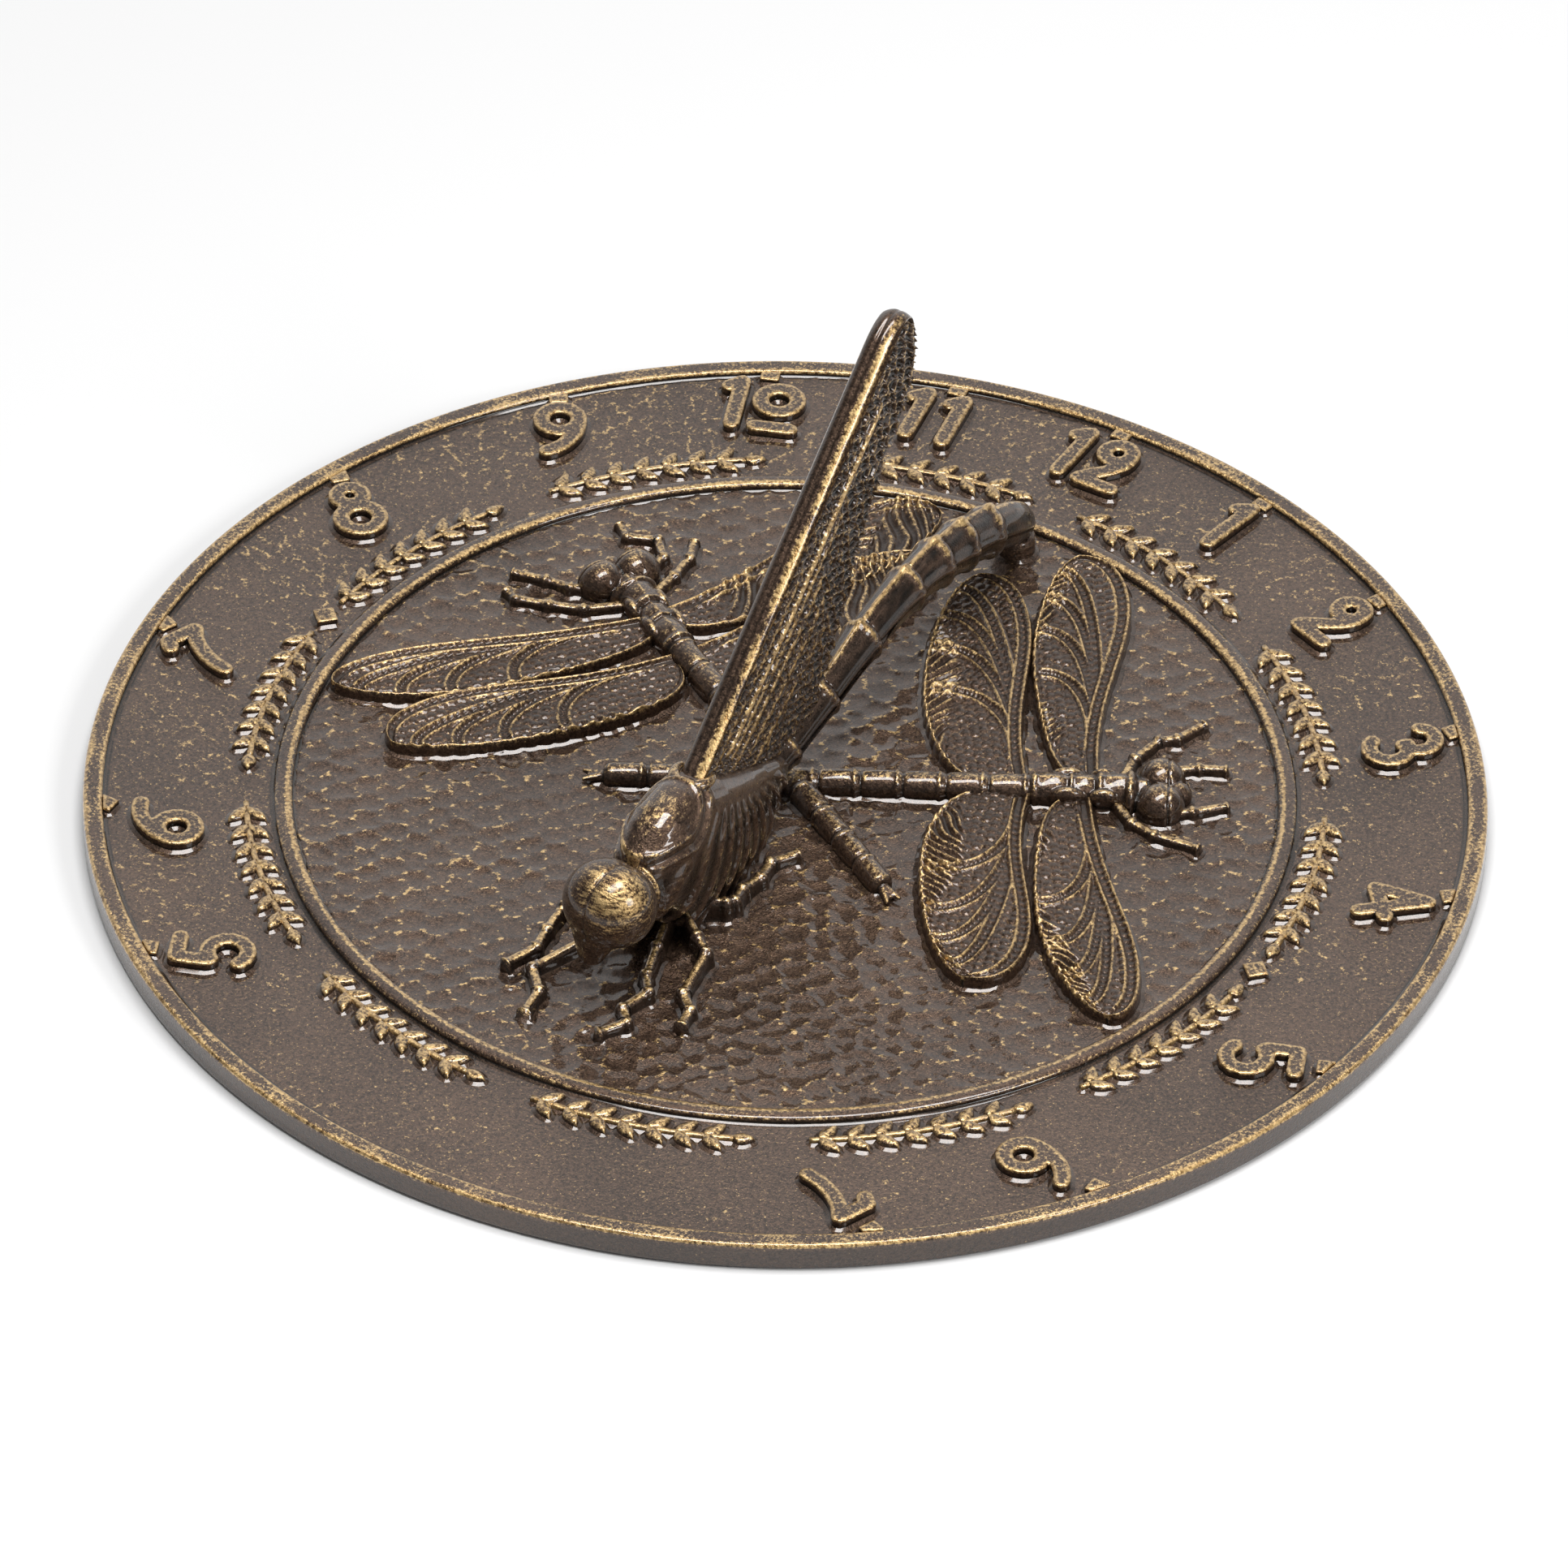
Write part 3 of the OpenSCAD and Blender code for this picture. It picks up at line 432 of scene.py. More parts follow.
# Inner ring. A rounded bead, cast with the plate and rubbed with brass along its crest, parts the hour band
# from the hammered field. The lacquer gathers along both of its feet.
ring_in = 107.0
ring_out = 111.0
ring_top = face_z + 1.7
ring_crest = ((0.05, -0.85), (0.2, -0.4), (0.6, -0.14), (1.2, 0), (2.0, -0.03), (2.8, -0.12), (3.4, -0.26),
              (3.8, -0.5), (3.95, -0.9))
ring_profile = (
    [(ring_in - 1.9, face_z - 0.7), (ring_in - 1.8, face_z - 0.1)] + meniscus(ring_in, -1)[::-1]
    + [(ring_in + far, ring_top + high) for far, high in ring_crest]
    + meniscus(ring_out, 1) + [(ring_out + 1.8, face_z - 0.1), (ring_out + 1.9, face_z - 0.7)])
ring_shape = turned(ring_profile, steps=720)
rub_and_light_layer = ring_shape.verts.layers.float.new("rub_and_painted_light")
for vert in ring_shape.verts:
    crest = bell(vert.co.xy.length - ring_in - 1.2, 0.55)
    worn = 0.95 * crest if vert.co.z > ring_top - 0.5 else 0.0
    uneven = noise.noise(vert.co * 0.12)
    vert[rub_and_light_layer] = worn - 0.1 + 0.35 * uneven
    vert.co.z += 0.06 * uneven
ring_lacquer = bronze_finish("ring_lacquer")
ring = cast_piece("ring_band", ring_shape, ring_lacquer, wear=2.2, top=0.05, ground=face_z + 0.6)
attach(ring, "root")
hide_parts("inner_ring")

# Hour marks. Fifteen square lugs run in from the rim land, one on each hour line. They are cast with the
# plate, and its paint, brass rub and lacquer run over them.
solid_sink = 0.8


def melt(shape, voxel, rounds):
    """Joins closed shapes into one skin and softens it, as moulding sand does."""
    mesh = bpy.data.meshes.new("melt")
    shape.to_mesh(mesh)
    shape.free()
    holder = put("melt", mesh)
    skin = holder.modifiers.new("skin", "REMESH")
    skin.mode = "VOXEL"
    skin.voxel_size = voxel
    bpy.context.view_layer.update()
    done = bmesh.new()
    done.from_object(holder, bpy.context.evaluated_depsgraph_get())
    bpy.data.objects.remove(holder)
    bpy.data.meshes.remove(mesh)
    for _ in range(rounds):
        bmesh.ops.smooth_vert(done, verts=done.verts, factor=0.5,
                              use_axis_x=True, use_axis_y=True, use_axis_z=True)
    return done


def flare_foot(shape, reach, ground=face_z, rise=0.45):
    """Spreads the foot of a relief form into the fillet that the lacquer leaves round it on the ground."""
    shape.normal_update()
    for v in shape.verts:
        share = (v.co.z - ground) / rise
        out = Vector((v.normal.x, v.normal.y, 0))
        if share < 1 and out.length > 0.4:
            spread = (1 - share) ** 1.5 if share > 0 else 1 - 1.5 * share
            v.co += out.normalized() * reach * spread


def in_mm(mesh):
    """Shape of a mesh, in millimetres."""
    shape = bmesh.new()
    shape.from_mesh(mesh)
    bmesh.ops.scale(shape, vec=(1 / MM, 1 / MM, 1 / MM), verts=shape.verts)
    return shape


def from_solid(node, voxel, rounds, fatter=0.0):
    """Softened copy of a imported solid, sunk into what carries it, with its walls moved out by fatter."""
    shape = in_mm(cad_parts[node].data)
    bmesh.ops.remove_doubles(shape, verts=shape.verts, dist=1e-3)
    for v in shape.verts:
        if v.co.z < face_z + 0.05:
            v.co.z -= solid_sink
    shape = melt(shape, voxel, rounds)
    shape.normal_update()
    for v in shape.verts:
        v.co += Vector((v.normal.x, v.normal.y, 0)) * fatter
    flare_foot(shape, 0.4)
    return shape


relief_lacquer = bronze_finish("relief_lacquer", grain=0.6, fleck=0.2)
mark_shape = from_solid("hour_marks", voxel=0.24, rounds=2, fatter=0.15)
marks = cast_piece("hour_lugs", mark_shape, relief_lacquer, wear=3.4, top=0.4)
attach(marks, "root")
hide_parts("hour_marks")

# Hour numerals. Rounded block figures stand in the band under the marks. They are cast with the plate and
# brass-rubbed along their edges.
numeral_shape = from_solid("hour_numerals", voxel=0.37, rounds=1, fatter=0.28)
numerals = cast_piece("numerals", numeral_shape, relief_lacquer, wear=3.8, top=0.3)
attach(numerals, "root")
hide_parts("hour_numerals")

# Leaf sprays. Twelve sprays of paired leaves, a common border ornament, fill the band by the ring. They are
# cast with the plate, and brass-rubbed over their tops, with a painted top light there and painted shade on
# their sides.
spray_r = 117.1
spray_half = 12.0
leaf_turn = 45
leaf_pairs = 7
spray_shape = bmesh.new()


def tube(point, along, around):
    """Closed tube: point(t, a) gives the place, and perhaps the rub, at share t of its length, angle a."""
    shape = bmesh.new()
    bmesh.ops.create_grid(shape, x_segments=along, y_segments=around, size=0.5)
    rub_and_light_layer = shape.verts.layers.float.new("rub_and_painted_light")
    for v in shape.verts:
        made = point(v.co.x + 0.5, (v.co.y + 0.5) * math.tau)
        v.co = made[:3]
        v[rub_and_light_layer] = made[3] if len(made) > 3 else 0.0
    bmesh.ops.remove_doubles(shape, verts=shape.verts, dist=1e-4)
    close_up(shape)
    return shape


def blunt(x, power):
    """Power that keeps the sign: under 1 it squares off a round section."""
    return math.copysign(abs(x) ** power, x)


def leaf(base, angle, length, half_width):
    """Pointed leaf with steep sides and a raised midrib."""
    def skin(t, a):
        wide = half_width * (0.06 + max(0.0, math.sin(math.pi * t ** 0.72)) ** 0.8)
        side = math.cos(a)
        crown = 1.3 * (1 - abs(side) ** 6) + 0.36 * bell(side, 0.3)
        out = wide * blunt(side, 0.6)
        far = t * length
        return (base[0] + far * math.cos(angle) - out * math.sin(angle),
                base[1] + far * math.sin(angle) + out * math.cos(angle),
                face_z + (crown * min(1.0, 0.3 + 6 * (1 - t)) if math.sin(a) > -1e-6 else -0.6))

    return tube(skin, along=11, around=16)


def stem(middle, turn):
    """Stem of one spray, bent along the band."""
    def skin(t, a):
        angle = math.radians(middle + turn * spray_half * (1 - 1.85 * t))
        reach = spray_r + 0.75 * blunt(math.cos(a), 0.6)
        high = 1.3 * math.sin(a) ** 0.4 if math.sin(a) > 0 else -0.6
        return (reach * math.cos(angle), reach * math.sin(angle), face_z + high)

    return tube(skin, along=40, around=12)


for turn in (-1, 1):
    for number in range(6):
        middle = turn * 30 * (number + 0.5)
        gather(spray_shape, stem(middle, turn))
        for pair in range(leaf_pairs + 1):
            at = math.radians(middle + turn * (spray_half - 3 * (pair + 0.35)))
            base = (spray_r * math.cos(at), spray_r * math.sin(at))
            for side in ((-1, 1) if pair < leaf_pairs else (0,)):
                way = at + math.radians(side * leaf_turn - turn * 90)
                gather(spray_shape, leaf(base, way, length=5.9 if side else 4.8, half_width=1.7))
sprays = cast_piece("leaf_sprays", spray_shape, relief_lacquer, wear=2.2, top=0.42)
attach(sprays, "root")
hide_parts("band_sprays")

# Quarter studs. Two small square studs mark east and west in the band. They are cast with the plate, like the
# sprays beside them.
stud_shape = from_solid("quarter_studs", voxel=0.25, rounds=2)
studs = cast_piece("quarter_lozenges", stud_shape, relief_lacquer, top=0.5)
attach(studs, "root")
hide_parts("quarter_studs")

# Wings of the two relief dragonflies. Each wing is a raised leaf of metal, cast with the plate. Small cells
# run between two ribs along its border and along each vein, and pebbled cells and short ribs fill the rest.
wing_grid = 0.34
wing_low = 2.6
wing_high = 4.35
cell_pitch = 2.6
wide_comb = 12
wing_lobe = 3.7
wall_levels = (1.4, 0.7, 0.3, 0.05, -0.5)
field_level = face_z + 0.3
field_rise = 0.6


def bezier(points, count):
    """Evenly numbered points of a cubic curve."""
    t = np.linspace(0, 1, count + 1)[:, None]
    p = np.array(points, dtype=float)
    return (1 - t) ** 3 * p[0] + 3 * t * (1 - t) ** 2 * p[1] + 3 * t * t * (1 - t) * p[2] + t ** 3 * p[3]


def evenly(path, shares):
    """Places at the given shares of a path's length, and that length."""
    run = np.r_[0, np.cumsum(np.linalg.norm(np.diff(path, axis=0), axis=1))]
    return np.stack([np.interp(shares * run[-1], run, path[:, k]) for k in (0, 1)], axis=1), run[-1]


def nearest(points, places):
    """Number of the point nearest to each place, and its distance."""
    tree = kdtree.KDTree(len(points))
    for i, p in enumerate(points):
        tree.insert((p[0], p[1], 0), i)
    tree.balance()
    found = [tree.find((p[0], p[1], 0)) for p in places]
    return np.array([f[1] for f in found]), np.array([f[2] for f in found])


def clamp(x):
    """Keeps the numbers of an array from 0 to 1."""
    return np.clip(x, 0, 1)


def beads(along, pitch):
    """Row of beads along a line: 1 in the middle of each, 0 between them."""
    return 0.5 + 0.5 * np.cos(math.tau * along / pitch)


def drift(places, level, scale):
    """Slow noise over places in plan; each level of it has a pattern of its own."""
    return np.array([noise.noise(Vector((p[0], p[1], level)) * scale) for p in places])


def part_way(start, end, far):
    """Places that lie a distance from the start towards the end, for arrays of places."""
    return start + (end - start) / (np.linalg.norm(end - start, axis=1) + 1e-6)[:, None] * far[:, None]


def point_along(shape, way, place):
    """Turns a shape drawn along X into a direction in plan, and moves it to its place."""
    turn = Vector((1, 0, 0)).rotation_difference(Vector((way[0], way[1], 0))).to_matrix()
    bmesh.ops.rotate(shape, verts=shape.verts, matrix=turn)
    shift(shape, place)


def relief_wing(root, tip, lead, trail, deep, side, combed, comb_pitch):
    """One wing in relief, from its root to its tip in plan.

    The leading edge lies to the left when side is 1, lead and trail are its half widths, and deep is the
    share of its length where it is widest. Short ribs, comb_pitch apart, reach in from the rear edge by about
    combed; where that is more than wide_comb they take the place of the veins."""
    root = np.array(root, dtype=float)
    span = np.array(tip) - root
    length = float(np.linalg.norm(span))
    front = np.vstack([
        bezier([[0, 0.12 * lead], [0.36 * length, 0.1 * lead], [0.56 * length, lead],
                [0.78 * length, lead]], 40),
        bezier([[0.78 * length, lead], [0.93 * length, lead], [1.01 * length, 0.6 * lead],
                [length, 0]], 30)[1:]])
    outer = [[length, 0], [0.97 * length, -0.5 * trail], [(deep + 0.24) * length, -trail],
             [deep * length, -trail]]
    rear = np.vstack([
        bezier(outer, 40),
        bezier([[deep * length, -trail], [(deep - 0.12) * length, -trail], [-0.02 * length, -0.9 * trail],
                [0, -0.25 * trail]], 40)[1:]])[::-1]
    shape = bmesh.new()
    bmesh.ops.create_grid(shape, x_segments=round(length / wing_grid),
                          y_segments=round((lead + trail) / wing_grid), size=0.5)
    s = np.array([v.co.x for v in shape.verts]) + 0.5
    across = 0.5 - np.array([v.co.y for v in shape.verts])
    ahead, front_run = evenly(front, s)
    behind, rear_run = evenly(rear, s)
    lobe = np.abs(np.sin(math.pi * s * rear_run / wing_lobe))
    open_edge = clamp((s - 0.12) * 8) * clamp((0.97 - s) * 12)
    wide = np.linalg.norm(ahead - behind, axis=1) + 1e-6
    behind = part_way(behind, ahead, 0.35 * open_edge * (1 - lobe ** 0.7))
    place = ahead + (behind - ahead) * across[:, None]
    from_front = across * wide
    from_rear = (1 - across) * wide
    rim = np.minimum(from_front, from_rear)

    veins = []
    vein_steps = 240
    vein_ends = np.array((0.92, 0.8, 0.66, 0.48))
    for end in evenly(rear, vein_ends)[0] * 0.99:
        bow = lead * end[0] / length
        veins.append(bezier([[0.04 * length, -0.02 * trail], [0.5 * end[0], 0.35 * bow],
                             [end[0] + 0.02 * length, 0.2 * end[1] + 0.45 * bow], end], vein_steps))
    number, vein = nearest(np.vstack(veins), place)
    along = (number % (vein_steps + 1)) / vein_steps * length * 0.9
    draw = random.Random(5)
    net = [(i * cell_pitch * 0.9 + (j % 2) * 1.0 + draw.uniform(-0.35, 0.35),
            j * cell_pitch * 0.8 + draw.uniform(-0.3, 0.3))
           for i in range(-2, round(length / cell_pitch) + 12) for j in range(-16, 12)]
    cell = nearest(net, place)[1]

    chained = clamp((s - 0.06) * 14) * clamp((wide - 8.0) / 3.0)
    rib = bell(from_front - 0.65, 0.6) + bell(from_rear - 0.6, 0.54) + bell(from_front - 3.4, 0.54) * chained
    border_bead = bell(from_front - 1.95, 0.9) * beads(s * front_run, 2.0) ** 3 * chained
    inside = clamp((rim - 1.1) / 0.8) * clamp((from_front - 3.4) / 0.8 + 1 - chained)
    reach = combed * (0.75 + 0.45 * np.cos(9.0 * s + combed))
    comb_zone = clamp((reach - from_rear) / 2.0) * open_edge
    veined = inside * (1 - comb_zone * (combed > wide_comb))
    vein_rib = bell(vein - 1.3, 0.5) * veined
    vein_bead = bell(vein, 0.8) * beads(along, 1.9) ** 3 * veined
    stray = drift(place, 0, 0.1)
    comb = beads(s * rear_run - 0.55 * from_rear + 3.0 * stray, comb_pitch) ** 1.3
    comb = comb * comb_zone * clamp((from_rear - 0.3) / 0.5)
    calm = inside * clamp((vein - 1.8) / 0.5) * (1 - comb_zone)
    pillow = clamp(1 - (cell / 1.36) ** 2) ** 0.7 * calm
    swell = 0.3 * clamp(vein / 4.5) * inside
    height = (wing_low - 0.15 + 0.3 * (1 - across) + 0.9 * np.minimum(rib, 1) + 0.32 * border_bead
              + 0.95 * vein_rib + 0.3 * vein_bead + 1.05 * comb + 0.52 * pillow + swell
              - 0.7 * clamp(1 - rim / 0.35) ** 2)
    rub_and_painted_light = (1.1 * np.minimum(rib, 1) + 0.6 * border_bead + 1.1 * vein_rib + 0.6 * vein_bead + 0.95 * comb
           + 0.75 * bell(cell - 1.2, 0.3) * calm - 0.38)
    rub_and_light_layer = shape.verts.layers.float.new("rub_and_painted_light")
    for v, p, h, mark in zip(shape.verts, place, height, rub_and_painted_light):
        v.co = (p[0], p[1] * side, min(float(h), wing_high))
        v[rub_and_light_layer] = mark
    bmesh.ops.remove_doubles(shape, verts=shape.verts, dist=1e-3)
    edge = [e for e in shape.edges if e.is_boundary]
    for level in wall_levels:
        edge, corners = drop_edge(shape, edge, level)
        for v in corners:
            # Painted shade: the walls are set a little below 0, so they darken a little.
            v[rub_and_light_layer] = -0.1
    close_up(shape)
    point_along(shape, span, (root[0], root[1], face_z))
    flare_foot(shape, 0.4, field_level, field_rise)
    return shape


wing_lacquer = bronze_finish("wing_lacquer", grain=0.6, fleck=0.2, gloss=0.55, polish=0.1)
wing_sets = {
    "west": [([-55, 34.5], [-102.5, -21], 6.5, 13, 0.5, -1, 2),
             ([-43.5, 25], [-81, -32], 10, 14.5, 0.3, -1, 3),
             ([-53, 38], [-19, 100], 10.5, 13, 0.5, 1, 17), ([-41, 29], [-11, 84], 9.5, 17, 0.3, 1, 19)],
    "east": [([56, 37], [14.5, 102], 11, 12, 0.48, -1, 5), ([43, 28.5], [-1, 85], 9.5, 18.5, 0.33, -1, 8),
             ([58, 30.5], [99, -32], 8, 14, 0.5, 1, 6), ([46, 24], [66, -37], 11.5, 18.5, 0.3, 1, 9)]}
comb_pitches = {"west": 3.9, "east": 2.6}
for quarter, wings in wing_sets.items():
    wing_shape = bmesh.new()
    for wing in wings:
        gather(wing_shape, relief_wing(*wing, comb_pitches[quarter]))
    four_wings = cast_piece(quarter + "_relief_wings", wing_shape, wing_lacquer, wear=0.25, ground=face_z + 1)
    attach(four_wings, "root")
    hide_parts(quarter + "_dragonfly_wings")

# Bodies of the two relief dragonflies. A ringed abdomen with a three-pronged tail, a thorax of three barrels
# between collars, a shield behind the head and two ball eyes, all cast with the plate.
head_x = 80.0
tail_x = -41.0
eye_size = 5.4
eye_apart = eye_size * 0.8
thorax_span = 23.0
waist_x = head_x - eye_size - thorax_span
axis_z = 1.8
ring_count = 10
cross_y = 3.0
body_turns = {"west": math.radians(180 - 31), "east": math.radians(28)}


def ball(centre, radius, squeeze=(1, 1, 1), turns=24):
    """Ball or egg with its own radii."""
    shape = bmesh.new()
    bmesh.ops.create_uvsphere(shape, u_segments=2 * turns, v_segments=turns, radius=radius)
    bmesh.ops.scale(shape, vec=squeeze, verts=shape.verts)
    shift(shape, centre)
    return shape


def body_size(x):
    """Radius of the relief body at x: rings, double grooves at their joints, then three barrels."""
    if x < waist_x:
        pitch = (waist_x - tail_x) / ring_count
        share = (x - tail_x) / pitch
        local = (share % 1) * pitch
        size = 2.75 + 0.06 * share + 0.2 * math.sin(math.pi * local / pitch)
        size += 0.35 * bell(local - pitch + 1.1, 0.45)
        return size - 0.45 * bell(local - 0.25, 0.4)
    share = (x - waist_x) / thorax_span
    for low, high, size in ((0, 0.36, 4.1), (0.36, 0.62, 4.0), (0.62, 1.01, 4.45)):
        if share <= high:
            part = (share - low) / (high - low)
            collar = 0.5 * bell(part - 0.1, 0.07)
            return size * (0.8 + 0.2 * math.sin(math.pi * part) ** 0.6) + collar
    return 3.4


def relief_body():
    """Relief dragonfly body with its head towards +X."""
    def skin(t, a):
        x = tail_x + t * (head_x - 3 - tail_x)
        size = body_size(x)
        back = 0.25 * bell(a - math.pi / 2, 0.16) if x > waist_x else 0.0
        return (x, size * math.cos(a), axis_z + (size + back) * math.sin(a))

    shape = tube(skin, along=520, around=40)
    for prong in (-16, 0, 16):
        lean = math.radians(180 + prong)
        reach = 5.6 if prong else 4.2

        def spike(t, a, lean=lean, reach=reach):
            size = 1.25 * (1 - 0.75 * t) + 0.1
            far = t * reach
            return (tail_x + 0.6 + far * math.cos(lean) - size * math.cos(a) * math.sin(lean),
                    far * math.sin(lean) + size * math.cos(a) * math.cos(lean), 1.5 + size * math.sin(a))

        gather(shape, tube(spike, along=12, around=16))
    gather(shape, ball((head_x - 6.6, 0, 1.6), 5.6, (0.36, 1.05, 0.9)))
    for side in (-1, 1):
        gather(shape, ball((head_x, side * eye_apart, axis_z), eye_size))
        gather(shape, ball((waist_x + 8, side * 3.4, 3.2), 2.6, (1.5, 0.6, 0.9), 16))
        gather(shape, ball((waist_x + 16, side * 3.6, 3.2), 2.5, (1.3, 0.6, 0.9), 16))
    gather(shape, ball((head_x + eye_size * 0.72, 0, axis_z), eye_size * 0.55))
    for v in shape.verts:
        v.co.z = max(v.co.z, -0.7)
    return shape


for quarter, angle in body_turns.items():
    body_shape = melt(relief_body(), voxel=0.27, rounds=1)
    for v in body_shape.verts:
        for side in (-1, 1):
            seam = Vector((v.co.x - head_x, v.co.y - side * eye_apart, v.co.z - axis_z))
            if abs(seam.length - eye_size) < 0.5:
                v.co -= seam.normalized() * 0.3 * bell(seam.x - 1.8, 0.3)
    point_along(body_shape, (math.cos(angle), math.sin(angle)), (0, cross_y, face_z))
    flare_foot(body_shape, 0.5, field_level, field_rise)
    body = cast_piece(quarter + "_relief_body", body_shape, relief_lacquer, wear=1.15, top=0.36)
    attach(body, "root")
    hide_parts(quarter + "_dragonfly_body")

# Legs of the two relief dragonflies. Thin jointed legs reach forward from under the head and the thorax. They
# are cast with the plate.
leg_taper = 0.12
leg_steps = 159


def limb(route, size, lift=0.0):
    """Jointed leg along a route in plan, thicker at its joints; its root stands higher by the lift."""
    corners = np.array(route, dtype=float)
    run = np.r_[0, np.cumsum(np.linalg.norm(np.diff(corners, axis=0), axis=1))]
    path, length = evenly(corners, np.linspace(0, 1, leg_steps + 1))
    for _ in range(3):
        path[1:-1] = (path[:-2] + 2 * path[1:-1] + path[2:]) / 4
    heading = np.gradient(path, axis=0)
    heading /= np.linalg.norm(heading, axis=1)[:, None]

    def skin(t, a):
        k = min(leg_steps, round(t * leg_steps))
        joint = min(abs(t * length - r) for r in run[1:])
        width = size * (1 - leg_taper * t) * (0.86 + 0.36 * bell(joint, 0.9))
        width *= min(1.0, math.sqrt(max(0.0, 1.02 - t) * length / 0.9))
        sin_a, cos_a = math.sin(a), math.cos(a)
        out = width * blunt(cos_a, 0.75)
        out *= 1 + 0.5 * max(0.0, -sin_a) ** 2
        rise = size * 1.05 + width * blunt(sin_a, 0.8) * (1.0 if sin_a > 0 else 1.5)
        rise += lift * (1 - t) ** 2 * max(0.0, 0.3 + sin_a)
        return (path[k][0] - heading[k][1] * out, path[k][1] + heading[k][0] * out, rise)

    return tube(skin, along=leg_steps, around=20)


leg_routes = {
    "west": [[[77, 4], [82, 11], [87, 14.5], [93, 20]], [[71, 3], [74, 12], [79, 18], [84, 23.5], [88, 24]],
             [[79, -7], [82, -12], [88, -14], [92, -8.5], [97, -9]],
             [[71, -3], [75, -11], [79, -17], [84, -21]]],
    "east": [[[71, 3], [74, 12], [79, 18.5], [83, 19.5], [89, 25]], [[80, 8], [88, 9.5], [94.5, 9.5]],
             [[81, -7], [87, -5.5], [95, -3]], [[70, -3], [74, -10], [79, -14], [89, -18]]]}
for quarter, angle in body_turns.items():
    leg_shape = bmesh.new()
    for route in leg_routes[quarter]:
        gather(leg_shape, limb(route, 1.4))
    point_along(leg_shape, (math.cos(angle), math.sin(angle)), (0, cross_y, face_z))
    flare_foot(leg_shape, 0.4, field_level, field_rise)
    legs = cast_piece(quarter + "_relief_legs", leg_shape, relief_lacquer, wear=0.8, top=0.65)
    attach(legs, "root")
    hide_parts(quarter + "_dragonfly_legs")

# Legs of the standing dragonfly. Six jointed legs lie on the field round its thorax. They are cast with the
# plate, and the thorax is screwed down between them.
perch_routes = [
    [[-5.5, -52], [-15, -57], [-19.5, -61], [-19, -69], [-18, -75], [-21, -83]],
    [[-2, -52], [-10, -69], [-15, -81.5], [-10, -87], [-9, -95]],
    [[2, -52], [5, -63], [7.5, -71.5], [10.5, -76], [8.5, -83], [11.5, -86.5], [8, -92.5]],
    [[6, -52], [11, -56], [15, -59], [17, -72], [21, -76], [22, -81.5]],
    [[6, -46], [10.5, -43], [11.5, -41], [10.5, -36], [11.5, -30], [10.5, -24], [14, -18]],
    [[-6, -46], [-10.5, -43], [-11.5, -41], [-10.5, -36], [-11.5, -30], [-10.5, -24], [-14, -18]]]
perch_shape = bmesh.new()
for route in perch_routes:
    gather(perch_shape, limb(route, 1.65, lift=2.5))
shift(perch_shape, (0, 0, face_z))
flare_foot(perch_shape, 0.4, field_level, field_rise)
perch = cast_piece("perching_legs", perch_shape, relief_lacquer, wear=0.7, top=0.8)
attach(perch, "root")
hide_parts("gnomon_legs")

# Body of the standing dragonfly. The thorax, with its shield plate and pleated flanks, and the arched, ringed
# abdomen are one casting, screwed down through the plate at the thorax and under the tail.
seat_rear = (-9.0, 15.8)
thorax_rows = np.array([
    [-66.0, 4.9, 26.0, 13.0], [-63.0, 6.7, 28.7, 9.5], [-58.0, 8.0, 32.0, 6.5], [-54.5, 8.7, 33.4, 3.6],
    [-52.0, 8.8, 33.8, -1.5], [-47.0, 9.0, 34.4, -3.0], [-42.0, 9.0, 34.2, -3.0], [-35.0, 8.7, 31.0, -3.0],
    [-28.0, 8.1, 27.2, -2.6], [-21.0, 7.2, 23.6, -2.2], [-15.0, 5.9, 20.4, 0.5], [-9.0, 4.7, 17.6, 6.6],
    [-4.0, 3.2, 15.0, 8.6]])
thorax_front = -66.3
thorax_length = 61.0
shield_y = -54.0
shield_half = 10.4
pleat_top = (-24.0, 40.0)
pleat_step = 8.5
saddle_y = -39.6
saddle_z = 33.4


